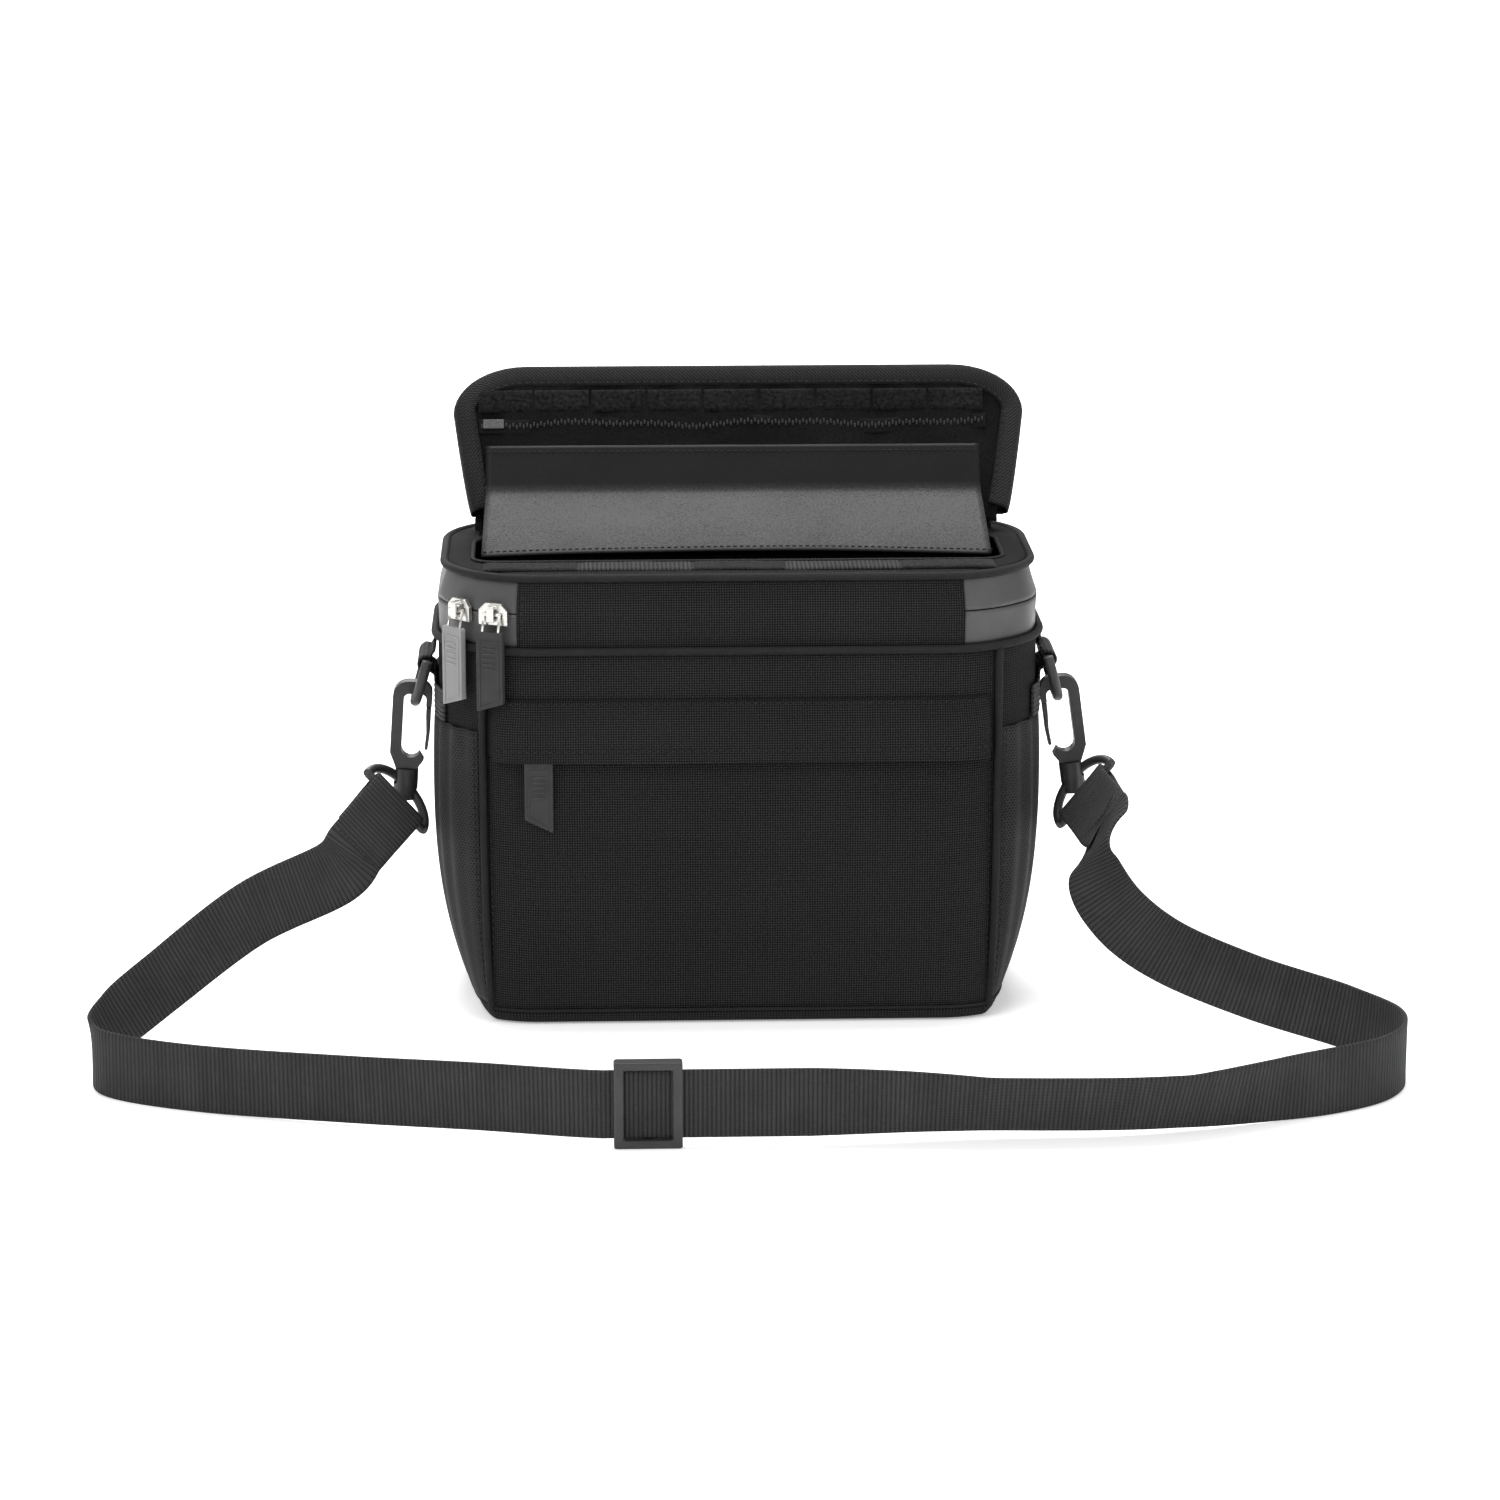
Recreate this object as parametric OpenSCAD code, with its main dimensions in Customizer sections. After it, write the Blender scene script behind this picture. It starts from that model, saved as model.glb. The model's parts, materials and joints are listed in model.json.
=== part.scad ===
// Padded shoulder camera bag: zipped lid hinged at the front, quick-access top flap,
// front zip pocket and a clip-on shoulder strap. Millimetres, +X to the wearer's right
// when facing the bag, +Y to the back, +Z up, origin on the floor under its centre.

/* [Body] */
// Width across the side panels
body_w = 254; // [248:1:258]
// Depth from the front panel to the back panel
body_d = 123; // [121:1:126]
// Height of the lower rim seam
body_h = 165; // [163:1:167]
// Radius of the upright corners
corner_r = 42; // [40:1:44]
// How far each side pulls in at the base
side_taper = 17; // [16:1:24]
// Height below which the sides pull in
taper_h = 115; // [100:1:120]
// Thickness of the outer fabric panels
fabric_t = 2; // [1.6:0.1:2]
// Thickness of the wall foam
foam_t = 7; // [5:0.5:7]
// Half width of the flat front panel
front_half_w = 107; // [104:1:108]

/* [Front pocket] */
// Height of the pocket's zip
pocket_zip_z = 122; // [120:1:123]
// Height of the storm flap's stitched top edge
storm_top_z = 141; // [140:1:143]
// Drop of the storm flap
storm_drop = 23; // [20:1:23]
// Where the pocket slider is parked
pocket_slider_x = -86; // [-88:1:-80]

/* [Lid] */
// Height of the zipped lid band
band_h = 27; // [26:0.5:28]
// Half width of the fabric part of the lid band
band_half_w = 93; // [90:1:94]
// Half width of the quick-access opening
opening_half_w = 112; // [111:1:114]
// Front edge of the quick-access opening
opening_front_y = -34; // [-36:1:-32]
// Back edge of the quick-access opening
opening_back_y = 16; // [15:1:18]

/* [Top flap] */
// Lean of the open flap, back from upright
flap_lean = 27; // [20:1:32]
// Length of the flap from its hinge
flap_len = 73; // [72:1:76]
// Widest half width of the flap
flap_half_w = 123.5; // [122:0.5:126]
// Half width of the flap at its hinge
flap_root_half_w = 116; // [115:1:118]
// Radius of the flap's free corners
flap_corner_r = 24; // [20:1:26]
// Length of the hanging pocket skirt
skirt_len = 38; // [34:1:40]

/* [Strap] */
// Width of the webbing
webbing_w = 28; // [26:1:28]
// Thickness of the webbing
webbing_t = 1.6; // [1.2:0.1:1.8]
// Fore-and-aft place of the strap anchors
anchor_y = -10; // [-12:1:-8]
// Lean of the left hook
hook_lean_left = 4; // [3:0.5:6]
// Lean of the right hook
hook_lean_right = 8; // [4:0.5:9]
// Sideways place of the strap adjuster
adjuster_x = -42; // [-45:1:0]

/* [Hidden] */

gap = 0.2;             // air between neighbouring layers
big = 400;             // larger than the bag, for cutting
left = -1;
right = 1;
hx = body_w / 2 - corner_r;    // corner arc centre, half spacing across
hy = body_d / 2 - corner_r;    // corner arc centre, half spacing fore and aft
corner_steps = 8;
taper_steps = 7;
face_reach = 46;       // front and back faces end this far from the middle
board_t = 2;
base_foam_top = 12;
lining_t = 1.2;
lining_g = -fabric_t - foam_t - 2 * gap;   // outer face of the lining
wall_top = body_h - 0.5;
foam_top = body_h - 4;
rim_z = body_h + band_h;        // top of the zipped band
lid_top_t = 2.6;
lid_top_z = rim_z + lid_top_t;  // upper face of the lid
zip_z = body_h + 13.6;          // height of the main zip
hinge_y = 22;                   // flap hinge line
hinge_z = lid_top_z + 3.4;
storm_half_w = 97.5;            // the storm flap ends short of the hanging zip pulls
layer_pocket = 2.2;             // outward reach of the side and front pocket fabric
piping_r = 1.6;
plastic = [0.25, 0.25, 0.26];
fabric = [0.17, 0.17, 0.18];
webbing = [0.19, 0.19, 0.2];
tape = [0.38, 0.38, 0.39];
nickel = [0.75, 0.75, 0.76];

function arc(cx, cy, r, a0, a1, n) =
  [for (i = [0:n]) let (a = a0 + (a1 - a0) * i / n) [cx + r * cos(a), cy + r * sin(a)]];

// Outline of the bag seen from above, grown outward by g
function plan(g) = concat(
  arc(hx, hy, corner_r + g, 0, 90, corner_steps),
  arc(-hx, hy, corner_r + g, 90, 180, corner_steps),
  arc(-hx, -hy, corner_r + g, 180, 270, corner_steps),
  arc(hx, -hy, corner_r + g, 270, 360, corner_steps));

function half_w(z) = z >= taper_h ? body_w / 2 : body_w / 2 - side_taper * pow(1 - z / taper_h, 3);

// Upright outline of the bag seen from the front, grown outward by g
function front_outline(g, z0, z1) = let (
    zs = [for (i = [0:taper_steps]) taper_h * i / taper_steps],
    side = concat([for (z = zs) [half_w(z) + g, z]], [[body_w / 2 + g, max(z1, taper_h) + 1]]),
    foot = [[half_w(0) + g, min(z0, 0) - 1]])
  concat(foot, side, [for (i = [len(side) - 1:-1:0]) [-side[i][0], side[i][1]]],
    [[-foot[0][0], foot[0][1]]]);

module column(g, z0, z1) {
  translate([0, 0, z0]) linear_extrude(z1 - z0) polygon(plan(g));
}

// Solid bag shape from z0 to z1, grown outward by g
module form(g, z0, z1) {
  intersection() {
    column(g, z0, z1);
    translate([0, big / 2, 0]) rotate([90, 0, 0]) linear_extrude(big) polygon(front_outline(g, z0, z1));
  }
}

// Wall between two grown outlines
module wall(g_in, g_out, z0, z1) {
  difference() {
    form(g_out, z0, z1);
    form(g_in, z0 - 1, z1 + 1);
  }
}

module straight_wall(g_in, g_out, z0, z1) {
  difference() {
    column(g_out, z0, z1);
    column(g_in, z0 - 1, z1 + 1);
  }
}

module block(x0, x1, y0, y1, z0, z1) {
  translate([x0, y0, z0]) cube([x1 - x0, y1 - y0, z1 - z0]);
}

// Keeps the front (or back) face of its children between -half and half
module keep_face(half, y_sign) {
  intersection() {
    children();
    if (y_sign < 0) block(-half, half, -big, -face_reach, -1, big);
    else block(-half, half, face_reach, big, -1, big);
  }
}

// Keeps the part of its children beyond |x| = half on one side
module keep_side(half, side) {
  intersection() {
    children();
    if (side < 0) block(-big, -half, -big, big, -1, big);
    else block(half, big, -big, big, -1, big);
  }
}

/* ---------- bag body ---------- */

module front_panel() {
  color(fabric) keep_face(front_half_w, -1) wall(-fabric_t, 0, 2.2, wall_top);
}

module back_panel() {
  color(fabric) keep_face(front_half_w, 1) wall(-fabric_t, 0, 2.2, wall_top);
}

module side_panel(side) {
  color(fabric) keep_side(front_half_w + gap, side) wall(-fabric_t, 0, 2.2, wall_top);
}

module base_panel() {
  color(fabric) form(0, 0, 2);
}

module base_board() {
  color("black") form(-4, 2.2, 2.2 + board_t);
}

module foam_face(y_sign) {
  color("dimgray") keep_face(hx + 14, y_sign)
    wall(lining_g + gap, -fabric_t - gap, base_foam_top + 0.4, foam_top);
}

module foam_sides() {
  color("dimgray") for (side = [left, right])
    keep_side(hx + 14.4, side) wall(lining_g + gap, -fabric_t - gap, base_foam_top + 0.4, foam_top);
}

module foam_base() {
  color("dimgray") form(-fabric_t - gap, 4.4, base_foam_top);
}

module lining() {
  color("gray") difference() {
    form(lining_g, base_foam_top + gap, foam_top);
    form(lining_g - lining_t, base_foam_top + gap + lining_t, foam_top + 1);
  }
}

module divider(side) {
  color("gray") block(side * 44 - 4, side * 44 + 4, -body_d / 2 + 11.5, body_d / 2 - 11.5, 14, 133);
}

/* ---------- front pocket ---------- */

module front_pocket() {
  color(fabric) keep_face(front_half_w - 2.5, -1) wall(gap, layer_pocket, 3, pocket_zip_z - 5);
}

module pocket_zip() {
  color("black") keep_face(front_half_w - 2.5, -1) wall(gap, 1.4, pocket_zip_z - 4.6, pocket_zip_z + 5);
}

// Hangs clear of the slider below its step and lies close to the panel above it
module storm_flap() {
  step_z = pocket_zip_z + 11.5;
  color(fabric) keep_face(storm_half_w, -1) union() {
    wall(5, 6.4, storm_top_z - storm_drop, step_z + 1.4);
    wall(2.2, 6.4, step_z, step_z + 1.4);
    wall(2.2, 3.6, step_z, storm_top_z + 1);
    wall(gap, 3.6, storm_top_z - 2, storm_top_z + 1);
  }
}

module pocket_slider() {
  y = -body_d / 2;
  color(nickel) translate([pocket_slider_x, y, pocket_zip_z]) {
    block(-4.5, 4.5, -3.2, -1.7, -3.6, 4.4);
    block(-1.5, 1.5, -4.3, -3, -3.4, 4);
    difference() {
      block(-3.4, 3.4, -4.3, -3.1, -7.4, -2);
      block(-2.2, 2.2, -5, -2, -6.4, -3.6);
    }
  }
}

// Rubber tab with a slanted lower edge, hung from a cross bar of radius r at the origin
module pull_tab(len, w, t, r, neck) {
  top = -2.2;
  difference() {
    union() {
      block(-neck / 2, neck / 2, -t / 2, t / 2, -6, 0);
      translate([0, 0, -2.2]) rotate([90, 0, 0]) linear_extrude(t, center = true) polygon([
        [-w / 2, -2], [-w / 2 + 2, 0], [w / 2 - 2, 0], [w / 2, -2],
        [w / 2, top - len + 4], [-w / 2, top - len]]);
      rotate([0, 90, 0]) cylinder(r = t / 2, h = neck, center = true, $fn = 32);
    }
    rotate([0, 90, 0]) cylinder(r = r + 0.15, h = w + 2, center = true, $fn = 32);
    if (neck < w) for (s = [-1, 1])
      block(min(s * neck / 2, s * w), max(s * neck / 2, s * w), -t, t, -3.2, 3);
  }
}

module pocket_pull() {
  color(plastic) translate([pocket_slider_x, -body_d / 2 - 3.7, pocket_zip_z - 6.9])
    pull_tab(28, 12, 2.4, 0.8, 3.9);
}

/* ---------- seams, tapes and side pockets ---------- */

module front_piping() {
  a = acos((front_half_w + 1 - hx) / corner_r);
  r = corner_r + piping_r + gap;
  color(fabric) for (side = [left, right])
    translate([side * (hx + r * cos(a)), -(hy + r * sin(a)), 7])
      cylinder(r = piping_r, h = wall_top - 11.4, $fn = 32);
}

module lower_rim_piping() {
  color(fabric) straight_wall(gap, gap + 2 * piping_r, body_h - 3.8, body_h - 0.4);
}

module upper_rim_piping() {
  color(fabric) straight_wall(gap, gap + 2 * piping_r, rim_z - 0.6, rim_z + 3.2);
}

// Part of a band that runs from one front corner round the back to the other
module zip_run(z0, z1) {
  difference() {
    straight_wall(-1.6, 0, z0, z1);
    block(-band_half_w, band_half_w, -big, 0, 0, big);
  }
}

module lower_zip_tape() {
  color(tape) zip_run(body_h + 0.2, zip_z - 0.2);
}

module upper_zip_tape() {
  color(tape) zip_run(zip_z + 0.2, rim_z - 0.4);
}

module side_pocket(side) {
  color(fabric) intersection() {
    keep_side(hx, side) wall(0.3, layer_pocket, 8, 127);
    block(-big, big, -38, 38, 0, big);
  }
}

module pocket_elastic(side) {
  color(webbing) intersection() {
    keep_side(hx, side) wall(0.3, layer_pocket, 127.3, 141);
    block(-big, big, -38, 38, 0, big);
  }
}

/* ---------- lid ---------- */

module lid_band() {
  color(fabric) keep_face(band_half_w - 0.4, -1) straight_wall(-fabric_t, 0, body_h + 1.2, rim_z - 0.4);
}

module lid_top() {
  r = 10;
  x = opening_half_w - r;
  y0 = opening_front_y + r;
  y1 = opening_back_y - r;
  color(fabric) difference() {
    column(-0.2, rim_z, lid_top_z);
    translate([0, 0, rim_z - 1]) linear_extrude(lid_top_t + 2) polygon(concat(
      arc(x, y1, r, 0, 90, 6), arc(-x, y1, r, 90, 180, 6),
      arc(-x, y0, r, 180, 270, 6), arc(x, y0, r, 270, 360, 6)));
  }
}

patch_w = 40;
patch_pitch = 90;
patch_y0 = -52;
patch_y1 = -37;
patch_z = lid_top_z + 0.2;

module loop_patches() {
  color("dimgray") for (i = [-1:1])
    block(i * patch_pitch - patch_w / 2, i * patch_pitch + patch_w / 2, patch_y0, patch_y1,
      patch_z, patch_z + 1.4);
}

module rim_webbing() {
  w = patch_pitch - patch_w - 2;
  color(webbing) for (i = [-1, 1])
    block(i * patch_pitch / 2 - w / 2, i * patch_pitch / 2 + w / 2, patch_y0, patch_y1,
      patch_z, patch_z + 1);
}

/* ---------- main zip sliders, on the left front corner ---------- */

slider_angle_side = 43;    // angles from -X towards -Y about the corner arc's centre
slider_angle_front = 66;
loop_pin_g = 3.6;          // reach of the slider's cross pin
loop_len = 8;
loop_tilt = 13;

// Puts its children on the corner: local x along the zip, local -y outward, z from the zip line
module on_corner(a, g) {
  translate([-hx, -hy, zip_z]) rotate([0, 0, a - 90]) translate([0, -(corner_r + g), 0]) children();
}

module zip_slider(a) {
  color(nickel) on_corner(a, 0) {
    difference() {
      block(-6.5, 6.5, -2.6, -0.6, -4.6, 4.6);
      for (s = [-1, 1]) translate([6.5 * s, 0, 4.6]) rotate([0, 45, 0]) cube([4, 12, 4], center = true);
    }
    block(-1.6, 1.6, -4.7, -2.4, 2.2, 3.6);
    block(-1.6, 1.6, -4.7, -2.4, -3, -1.6);
    block(-1.6, 1.6, -5.7, -4.6, -3, 3.6);
  }
}

module wire_loop(a) {
  color(nickel) on_corner(a, loop_pin_g) rotate([-loop_tilt, 0, 0]) {
    for (z = [0, -loop_len]) translate([0, 0, z]) rotate([0, 90, 0])
      cylinder(r = 0.75, h = 8, center = true, $fn = 24);
    for (x = [-3.6, 3.6]) translate([x, 0, -loop_len - 0.4])
      cylinder(r = 0.6, h = loop_len + 0.8, $fn = 24);
  }
}

module main_pull(a) {
  color(plastic) on_corner(a, loop_pin_g) rotate([-loop_tilt, 0, 0]) translate([0, 0, -loop_len])
    rotate([loop_tilt, 0, 0]) pull_tab(29, 12, 2.8, 0.75, 5.4);
}

/* ---------- top flap: local y runs from hinge to tip, local +z faces the inside ---------- */

flap_t0 = 7;       // where the padding starts
binding_w = 4;
flap_back = -8.6;  // outer face
module flap_frame() {
  translate([0, hinge_y, hinge_z]) rotate([90 - flap_lean, 0, 0]) children();
}

function flap_outline(inset, t0) = concat(
  [[flap_root_half_w - inset, t0]],
  arc(flap_half_w - flap_corner_r, flap_len - flap_corner_r, flap_corner_r - inset, 0, 90, 8),
  arc(flap_corner_r - flap_half_w, flap_len - flap_corner_r, flap_corner_r - inset, 90, 180, 8),
  [[inset - flap_root_half_w, t0]]);

module flap_slab(inset, t0, z0, z1) {
  translate([0, 0, z0]) linear_extrude(z1 - z0) polygon(flap_outline(inset, t0));
}

module flap_shell() {
  color(fabric) flap_frame() flap_slab(binding_w + gap, flap_t0, -8.4, -7);
}

module flap_foam() {
  color("dimgray") flap_frame() flap_slab(binding_w + gap, flap_t0, -6.8, -1.8);
}

module flap_lining() {
  color([0.1, 0.1, 0.1]) flap_frame() flap_slab(binding_w + 1.2, 1.5, -1.6, -0.4);
}

module flap_binding() {
  color(webbing) flap_frame() difference() {
    flap_slab(0, flap_t0, flap_back, 0);
    flap_slab(binding_w, flap_t0 - 3, flap_back - 1, 1);
  }
}

module flap_hook_strip() {
  count = 9;
  step = 222 / count;
  color("black") flap_frame() for (i = [0:count - 1])
    block(-111 + i * step, -111 + i * step + step - 1, 51.5, 61.5, -0.2, 1.2);
}

module flap_zip() {
  color("black") flap_frame() block(-110, 110, 42.5, 49.5, -0.2, 0.8);
}

module flap_zip_slider() {
  color(nickel) flap_frame() block(-108, -99, 44, 48, 1, 2.6);
}

skirt_t = 15.2;        // where the pocket panel starts to hang free
skirt_angle = 36.4;    // kick of the hanging skirt away from the flap
pocket_half_w = 107;

module flap_pocket_panel() {
  color([0.3, 0.3, 0.31]) flap_frame() block(-pocket_half_w, pocket_half_w, skirt_t + 0.8, 36, 1, 2.2);
}

module flap_pocket_skirt() {
  color([0.35, 0.35, 0.36]) flap_frame() translate([0, skirt_t, 1.6]) rotate([-skirt_angle, 0, 0])
    block(-pocket_half_w, pocket_half_w, -skirt_len, -0.9, -0.6, 0.6);
}

/* ---------- strap anchors and hardware ---------- */

bar_x = body_w / 2 + 5.2;      // D-ring bar
bar_z = 148.75;
d_r = 17.75;                   // mid radius of the D-ring's bow
d_wire = 2.2;
d_drop = 1.75;                 // straight part between bar and bow
hook_x = body_w / 2 + 10.6;    // where the hook hangs on the bow
d_tilt = asin((hook_x - bar_x) / (d_r + d_drop));
hook_z = bar_z - (d_r + d_drop) * cos(d_tilt);
hook_t = 6.5;
swivel_x = 2.2;                // swivel axis, outward of the hook's origin
hook_base = -29.6;
boss_z = -37.4;
ring_r = 17;
ring_wire = 2;
ring_pitch = 18;               // how steeply the ring leans down to the front
ring_roll = 43.8;              // tilt of the ring's bar across the view

module strap_tab(side) {
  x = side * (body_w / 2 + 0.3);
  color(webbing) difference() {
    union() {
      block(min(x, x + side * 1.5), max(x, x + side * 1.5), anchor_y - 13, anchor_y + 13,
        144.5, body_h - 4.2);
      translate([side * bar_x, anchor_y, bar_z]) rotate([90, 0, 0])
        cylinder(r = 3.7, h = 26, center = true, $fn = 48);
    }
    translate([side * bar_x, anchor_y, bar_z]) rotate([90, 0, 0])
      cylinder(r = d_wire + 0.1, h = 40, center = true, $fn = 48);
  }
}

module d_ring(side) {
  color(plastic) translate([side * bar_x, anchor_y, bar_z]) rotate([0, -side * d_tilt, 0]) {
    rotate([90, 0, 0]) cylinder(r = d_wire - 0.2, h = 2 * d_r + 1, center = true, $fn = 48);
    for (s = [-1, 1]) translate([0, s * d_r, -d_drop]) cylinder(r = d_wire, h = d_drop + d_wire, $fn = 48);
    translate([0, 0, -d_drop]) rotate([0, 90, 0]) rotate([0, 0, -90])
      rotate_extrude(angle = 180, $fn = 64) translate([d_r, 0]) circle(d_wire, $fn = 32);
  }
}

// Puts its children in a hook's own frame: x outward, z up, origin in the D-ring's bow
module hook_frame(side) {
  lean = side < 0 ? hook_lean_left : hook_lean_right;
  translate([side * hook_x, anchor_y, hook_z]) mirror([side < 0 ? 1 : 0, 0, 0])
    rotate([0, -lean, 0]) children();
}

module snap_hook(side) {
  body = concat(
    [[4.9, -20]], [[4.9, 0.8]], arc(2.5, 0.8, 2.4, 0, 90, 4), arc(-2.6, 1, 2.2, 90, 180, 4),
    [[-4.8, -2], [-7.2, -2]],
    arc(-2, 3.4, 5.2, 180, 90, 6), arc(3, 2, 6.6, 90, 0, 6),
    [[9.6, -23]], [[6.8, hook_base], [-2.4, hook_base], [-5, -25.6]], arc(0.7, -20.6, 4.2, 210, 345, 6));
  color(plastic) hook_frame(side) difference() {
    rotate([90, 0, 0]) linear_extrude(hook_t, center = true) polygon(body);
    translate([swivel_x, 0, hook_base - 1]) cylinder(r = 1.65, h = 4.5, $fn = 32);
  }
}

module hook_gate(side) {
  color(plastic) hook_frame(side) rotate([90, 0, 0]) linear_extrude(hook_t - 2, center = true) polygon([
    [-7, -2.4], [-4.9, -2.4], [-4.9, -6], [-5.4, -14], [-5, -21.4], [-6.4, -21.4], [-7, -14]]);
}

module swivel_boss(side) {
  color(plastic) hook_frame(side) translate([swivel_x, 0, 0]) difference() {
    union() {
      translate([0, 0, boss_z - 6]) cylinder(r = 5.2, h = hook_base - boss_z + 5.6, $fn = 48);
      translate([0, 0, hook_base - 2]) cylinder(r = 1.5, h = 5, $fn = 32);
    }
    translate([0, 0, boss_z]) mirror([1, 0, 0]) rotate([0, ring_roll, 0]) rotate([ring_pitch, 0, 0])
      translate([0, -0.8, 0]) rotate([0, 90, 0]) cylinder(r = 3.1, h = 30, center = true, $fn = 48);
  }
}

// Ring frame: x along the bar, -y from the bow's middle to the bar, origin at the bow's middle
module ring_frame(side) {
  hook_frame(side) translate([swivel_x, 0, boss_z]) mirror([1, 0, 0]) rotate([0, ring_roll, 0])
    rotate([ring_pitch, 0, 0]) children();
}

module strap_ring(side) {
  color(plastic) ring_frame(side) translate([0, -ring_r, 0]) {
    rotate_extrude(angle = 180, $fn = 64) translate([ring_r, 0]) circle(ring_wire, $fn = 32);
    rotate([0, 90, 0]) cylinder(r = ring_wire - 0.1, h = 2 * ring_r, center = true, $fn = 48);
  }
}

/* ---------- webbing: stations of [centre, twist], twist 1 = along the ring's bar ---------- */

function rot_y(v, a) = [v[0] * cos(a) + v[2] * sin(a), v[1], -v[0] * sin(a) + v[2] * cos(a)];
function rot_x(v, a) = [v[0], v[1] * cos(a) - v[2] * sin(a), v[1] * sin(a) + v[2] * cos(a)];
function unit(v) = v / norm(v);
function side_flip(v, side) = [side * v[0], v[1], v[2]];
// A vector of the ring's own frame, in the frame of the whole bag
function ring_vec(v, side) = let (lean = side < 0 ? hook_lean_left : hook_lean_right,
    a = rot_y(rot_x(v, ring_pitch), ring_roll))
  side_flip(rot_y([-a[0], a[1], a[2]], -lean), side);
function bar_mid(side) = let (lean = side < 0 ? hook_lean_left : hook_lean_right)
  [side * hook_x, anchor_y, hook_z] + side_flip(rot_y([swivel_x, 0, boss_z], -lean), side)
  + ring_vec([0, -ring_r, 0], side);
function bar_dir(side) = let (b = ring_vec([1, 0, 0], side)) b[2] > 0 ? b : -b;

loop_rho = ring_wire + webbing_t / 2 + 0.3;
strap_y = -218;
strap_z = 17.8;     // webbing's middle where the adjuster carries it

// Stations [x, y, z, twist] of the run between one ring and the front run, ring first
function side_run(side) = side < 0 ?
  [[-205, -84, 57, 0.45], [-240, -110, 36, 0.15], [-259, -124, 23, 0], [-266, -137, 15.5, 0],
   [-256, -153, 14.2, 0], [-218, -171, 14.2, 0], [-160, -188, 15, 0], [-110, -204, 17, 0]] :
  [[147, -76, 72, 0.6], [156, -85, 55, 0.35], [177, -90, 39, 0.12], [212, -99, 25.5, 0],
   [250, -114, 16.5, 0], [268, -142, 14.2, 0], [254, -175, 14.2, 0], [205, -200, 14.5, 0],
   [150, -216, 16.2, 0]];
function straight(side) = side < 0 ? 46 : 36;    // the webbing leaves the bar straight for this far
function place_of(station) = [station[0], station[1], station[2]];

function approach(side) = let (b = bar_dir(side), v = unit(bar_mid(side) - place_of(side_run(side)[0])))
  unit(v - (v * b) * b);
function lift(side) = cross(bar_dir(side), approach(side)) * side;

function catmull(p, t) = let (a = p[0], b = p[1], c = p[2], d = p[3])
  0.5 * (2 * b + (c - a) * t + (2 * a - 5 * b + 4 * c - d) * t * t + (3 * b - a - 3 * c + d) * t * t * t);
function smooth(p, n) =
  [for (i = [1:len(p) - 3], k = [0:n - 1]) catmull([p[i - 1], p[i], p[i + 1], p[i + 2]], k / n)];

// [x, y, z, twist] stations of the folded end: tail, round the bar, then out to the run
function fold(side) = let (m = bar_mid(side), a = approach(side), n = lift(side), r = loop_rho) concat(
  [for (q = [[30, -1], [22, -1.2], [12, -2.1], [5, -2.9]]) concat(m - a * q[0] + n * q[1], [1])],
  [for (i = [0:8]) let (f = -90 + 180 * i / 8) concat(m + r * (a * cos(f) + n * sin(f)), [1])],
  [for (q = [[5, 2.9], [12, 2.1], [22, 1.2], [30, 1]]) concat(m - a * q[0] + n * q[1], [1])]);

function run_in(side) = let (m = bar_mid(side), a = approach(side), n = lift(side)) smooth(
  concat([concat(m - a * 22 + n * 1.2, [1]), concat(m - a * 30 + n, [1]),
    concat(m - a * straight(side) + n * 0.8, [0.9])],
    side_run(side),
    [[side * 60, strap_y, strap_z, 0], [side * 20, strap_y, strap_z, 0]]), 4);

function reverse(p) = [for (i = [len(p) - 1:-1:0]) p[i]];

strap_path = concat(fold(left), [for (i = [1:len(run_in(left)) - 1]) run_in(left)[i]],
  [[-60, strap_y, strap_z, 0], [60, strap_y, strap_z, 0]],
  reverse([for (i = [1:len(run_in(right)) - 1]) run_in(right)[i]]), reverse(fold(right)));

module strap_webbing() {
  n = len(strap_path);
  pos = [for (p = strap_path) [p[0], p[1], p[2]]];
  tan = [for (i = [0:n - 1]) unit(pos[min(i + 1, n - 1)] - pos[max(i - 1, 0)])];
  wid = [for (i = [0:n - 1]) let (t = strap_path[i][3], w = (1 - t) * [0, 0, 1] + t * bar_dir(sign(pos[i][0])))
    unit(w - (w * tan[i]) * tan[i])];
  thk = [for (i = [0:n - 1]) cross(tan[i], wid[i])];
  pts = [for (i = [0:n - 1], q = [[-1, -1], [1, -1], [1, 1], [-1, 1]])
    pos[i] + wid[i] * q[0] * webbing_w / 2 + thk[i] * q[1] * webbing_t / 2];
  sides = [for (i = [0:n - 2], k = [0:3]) let (a = 4 * i + k, b = 4 * i + (k + 1) % 4)
    each [[a, b, b + 4], [a, b + 4, a + 4]]];
  ends = concat([[3, 2, 1], [3, 1, 0]], [for (f = [[0, 1, 2], [0, 2, 3]]) f + 4 * (n - 1) * [1, 1, 1]]);
  color(webbing) polyhedron(pts, concat(sides, ends));
}

module strap_adjuster() {
  half = webbing_w / 2 + 0.4;
  rail = 3.2;
  front = strap_y - webbing_t / 2 - 0.3;
  back = strap_y + webbing_t / 2 + 0.3;
  color(plastic) translate([adjuster_x, 0, strap_z]) {
    for (s = [-1, 1]) {
      block(-13.5, 13.5, front - 2, back + 2,
        min(s * half, s * (half + rail)), max(s * half, s * (half + rail)));
      block(min(s * 9.5, s * 13.5), max(s * 9.5, s * 13.5), front - 2, front, -half - 1, half + 1);
    }
    block(-2.5, 2.5, back, back + 2, -half - 1, half + 1);
  }
}

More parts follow.
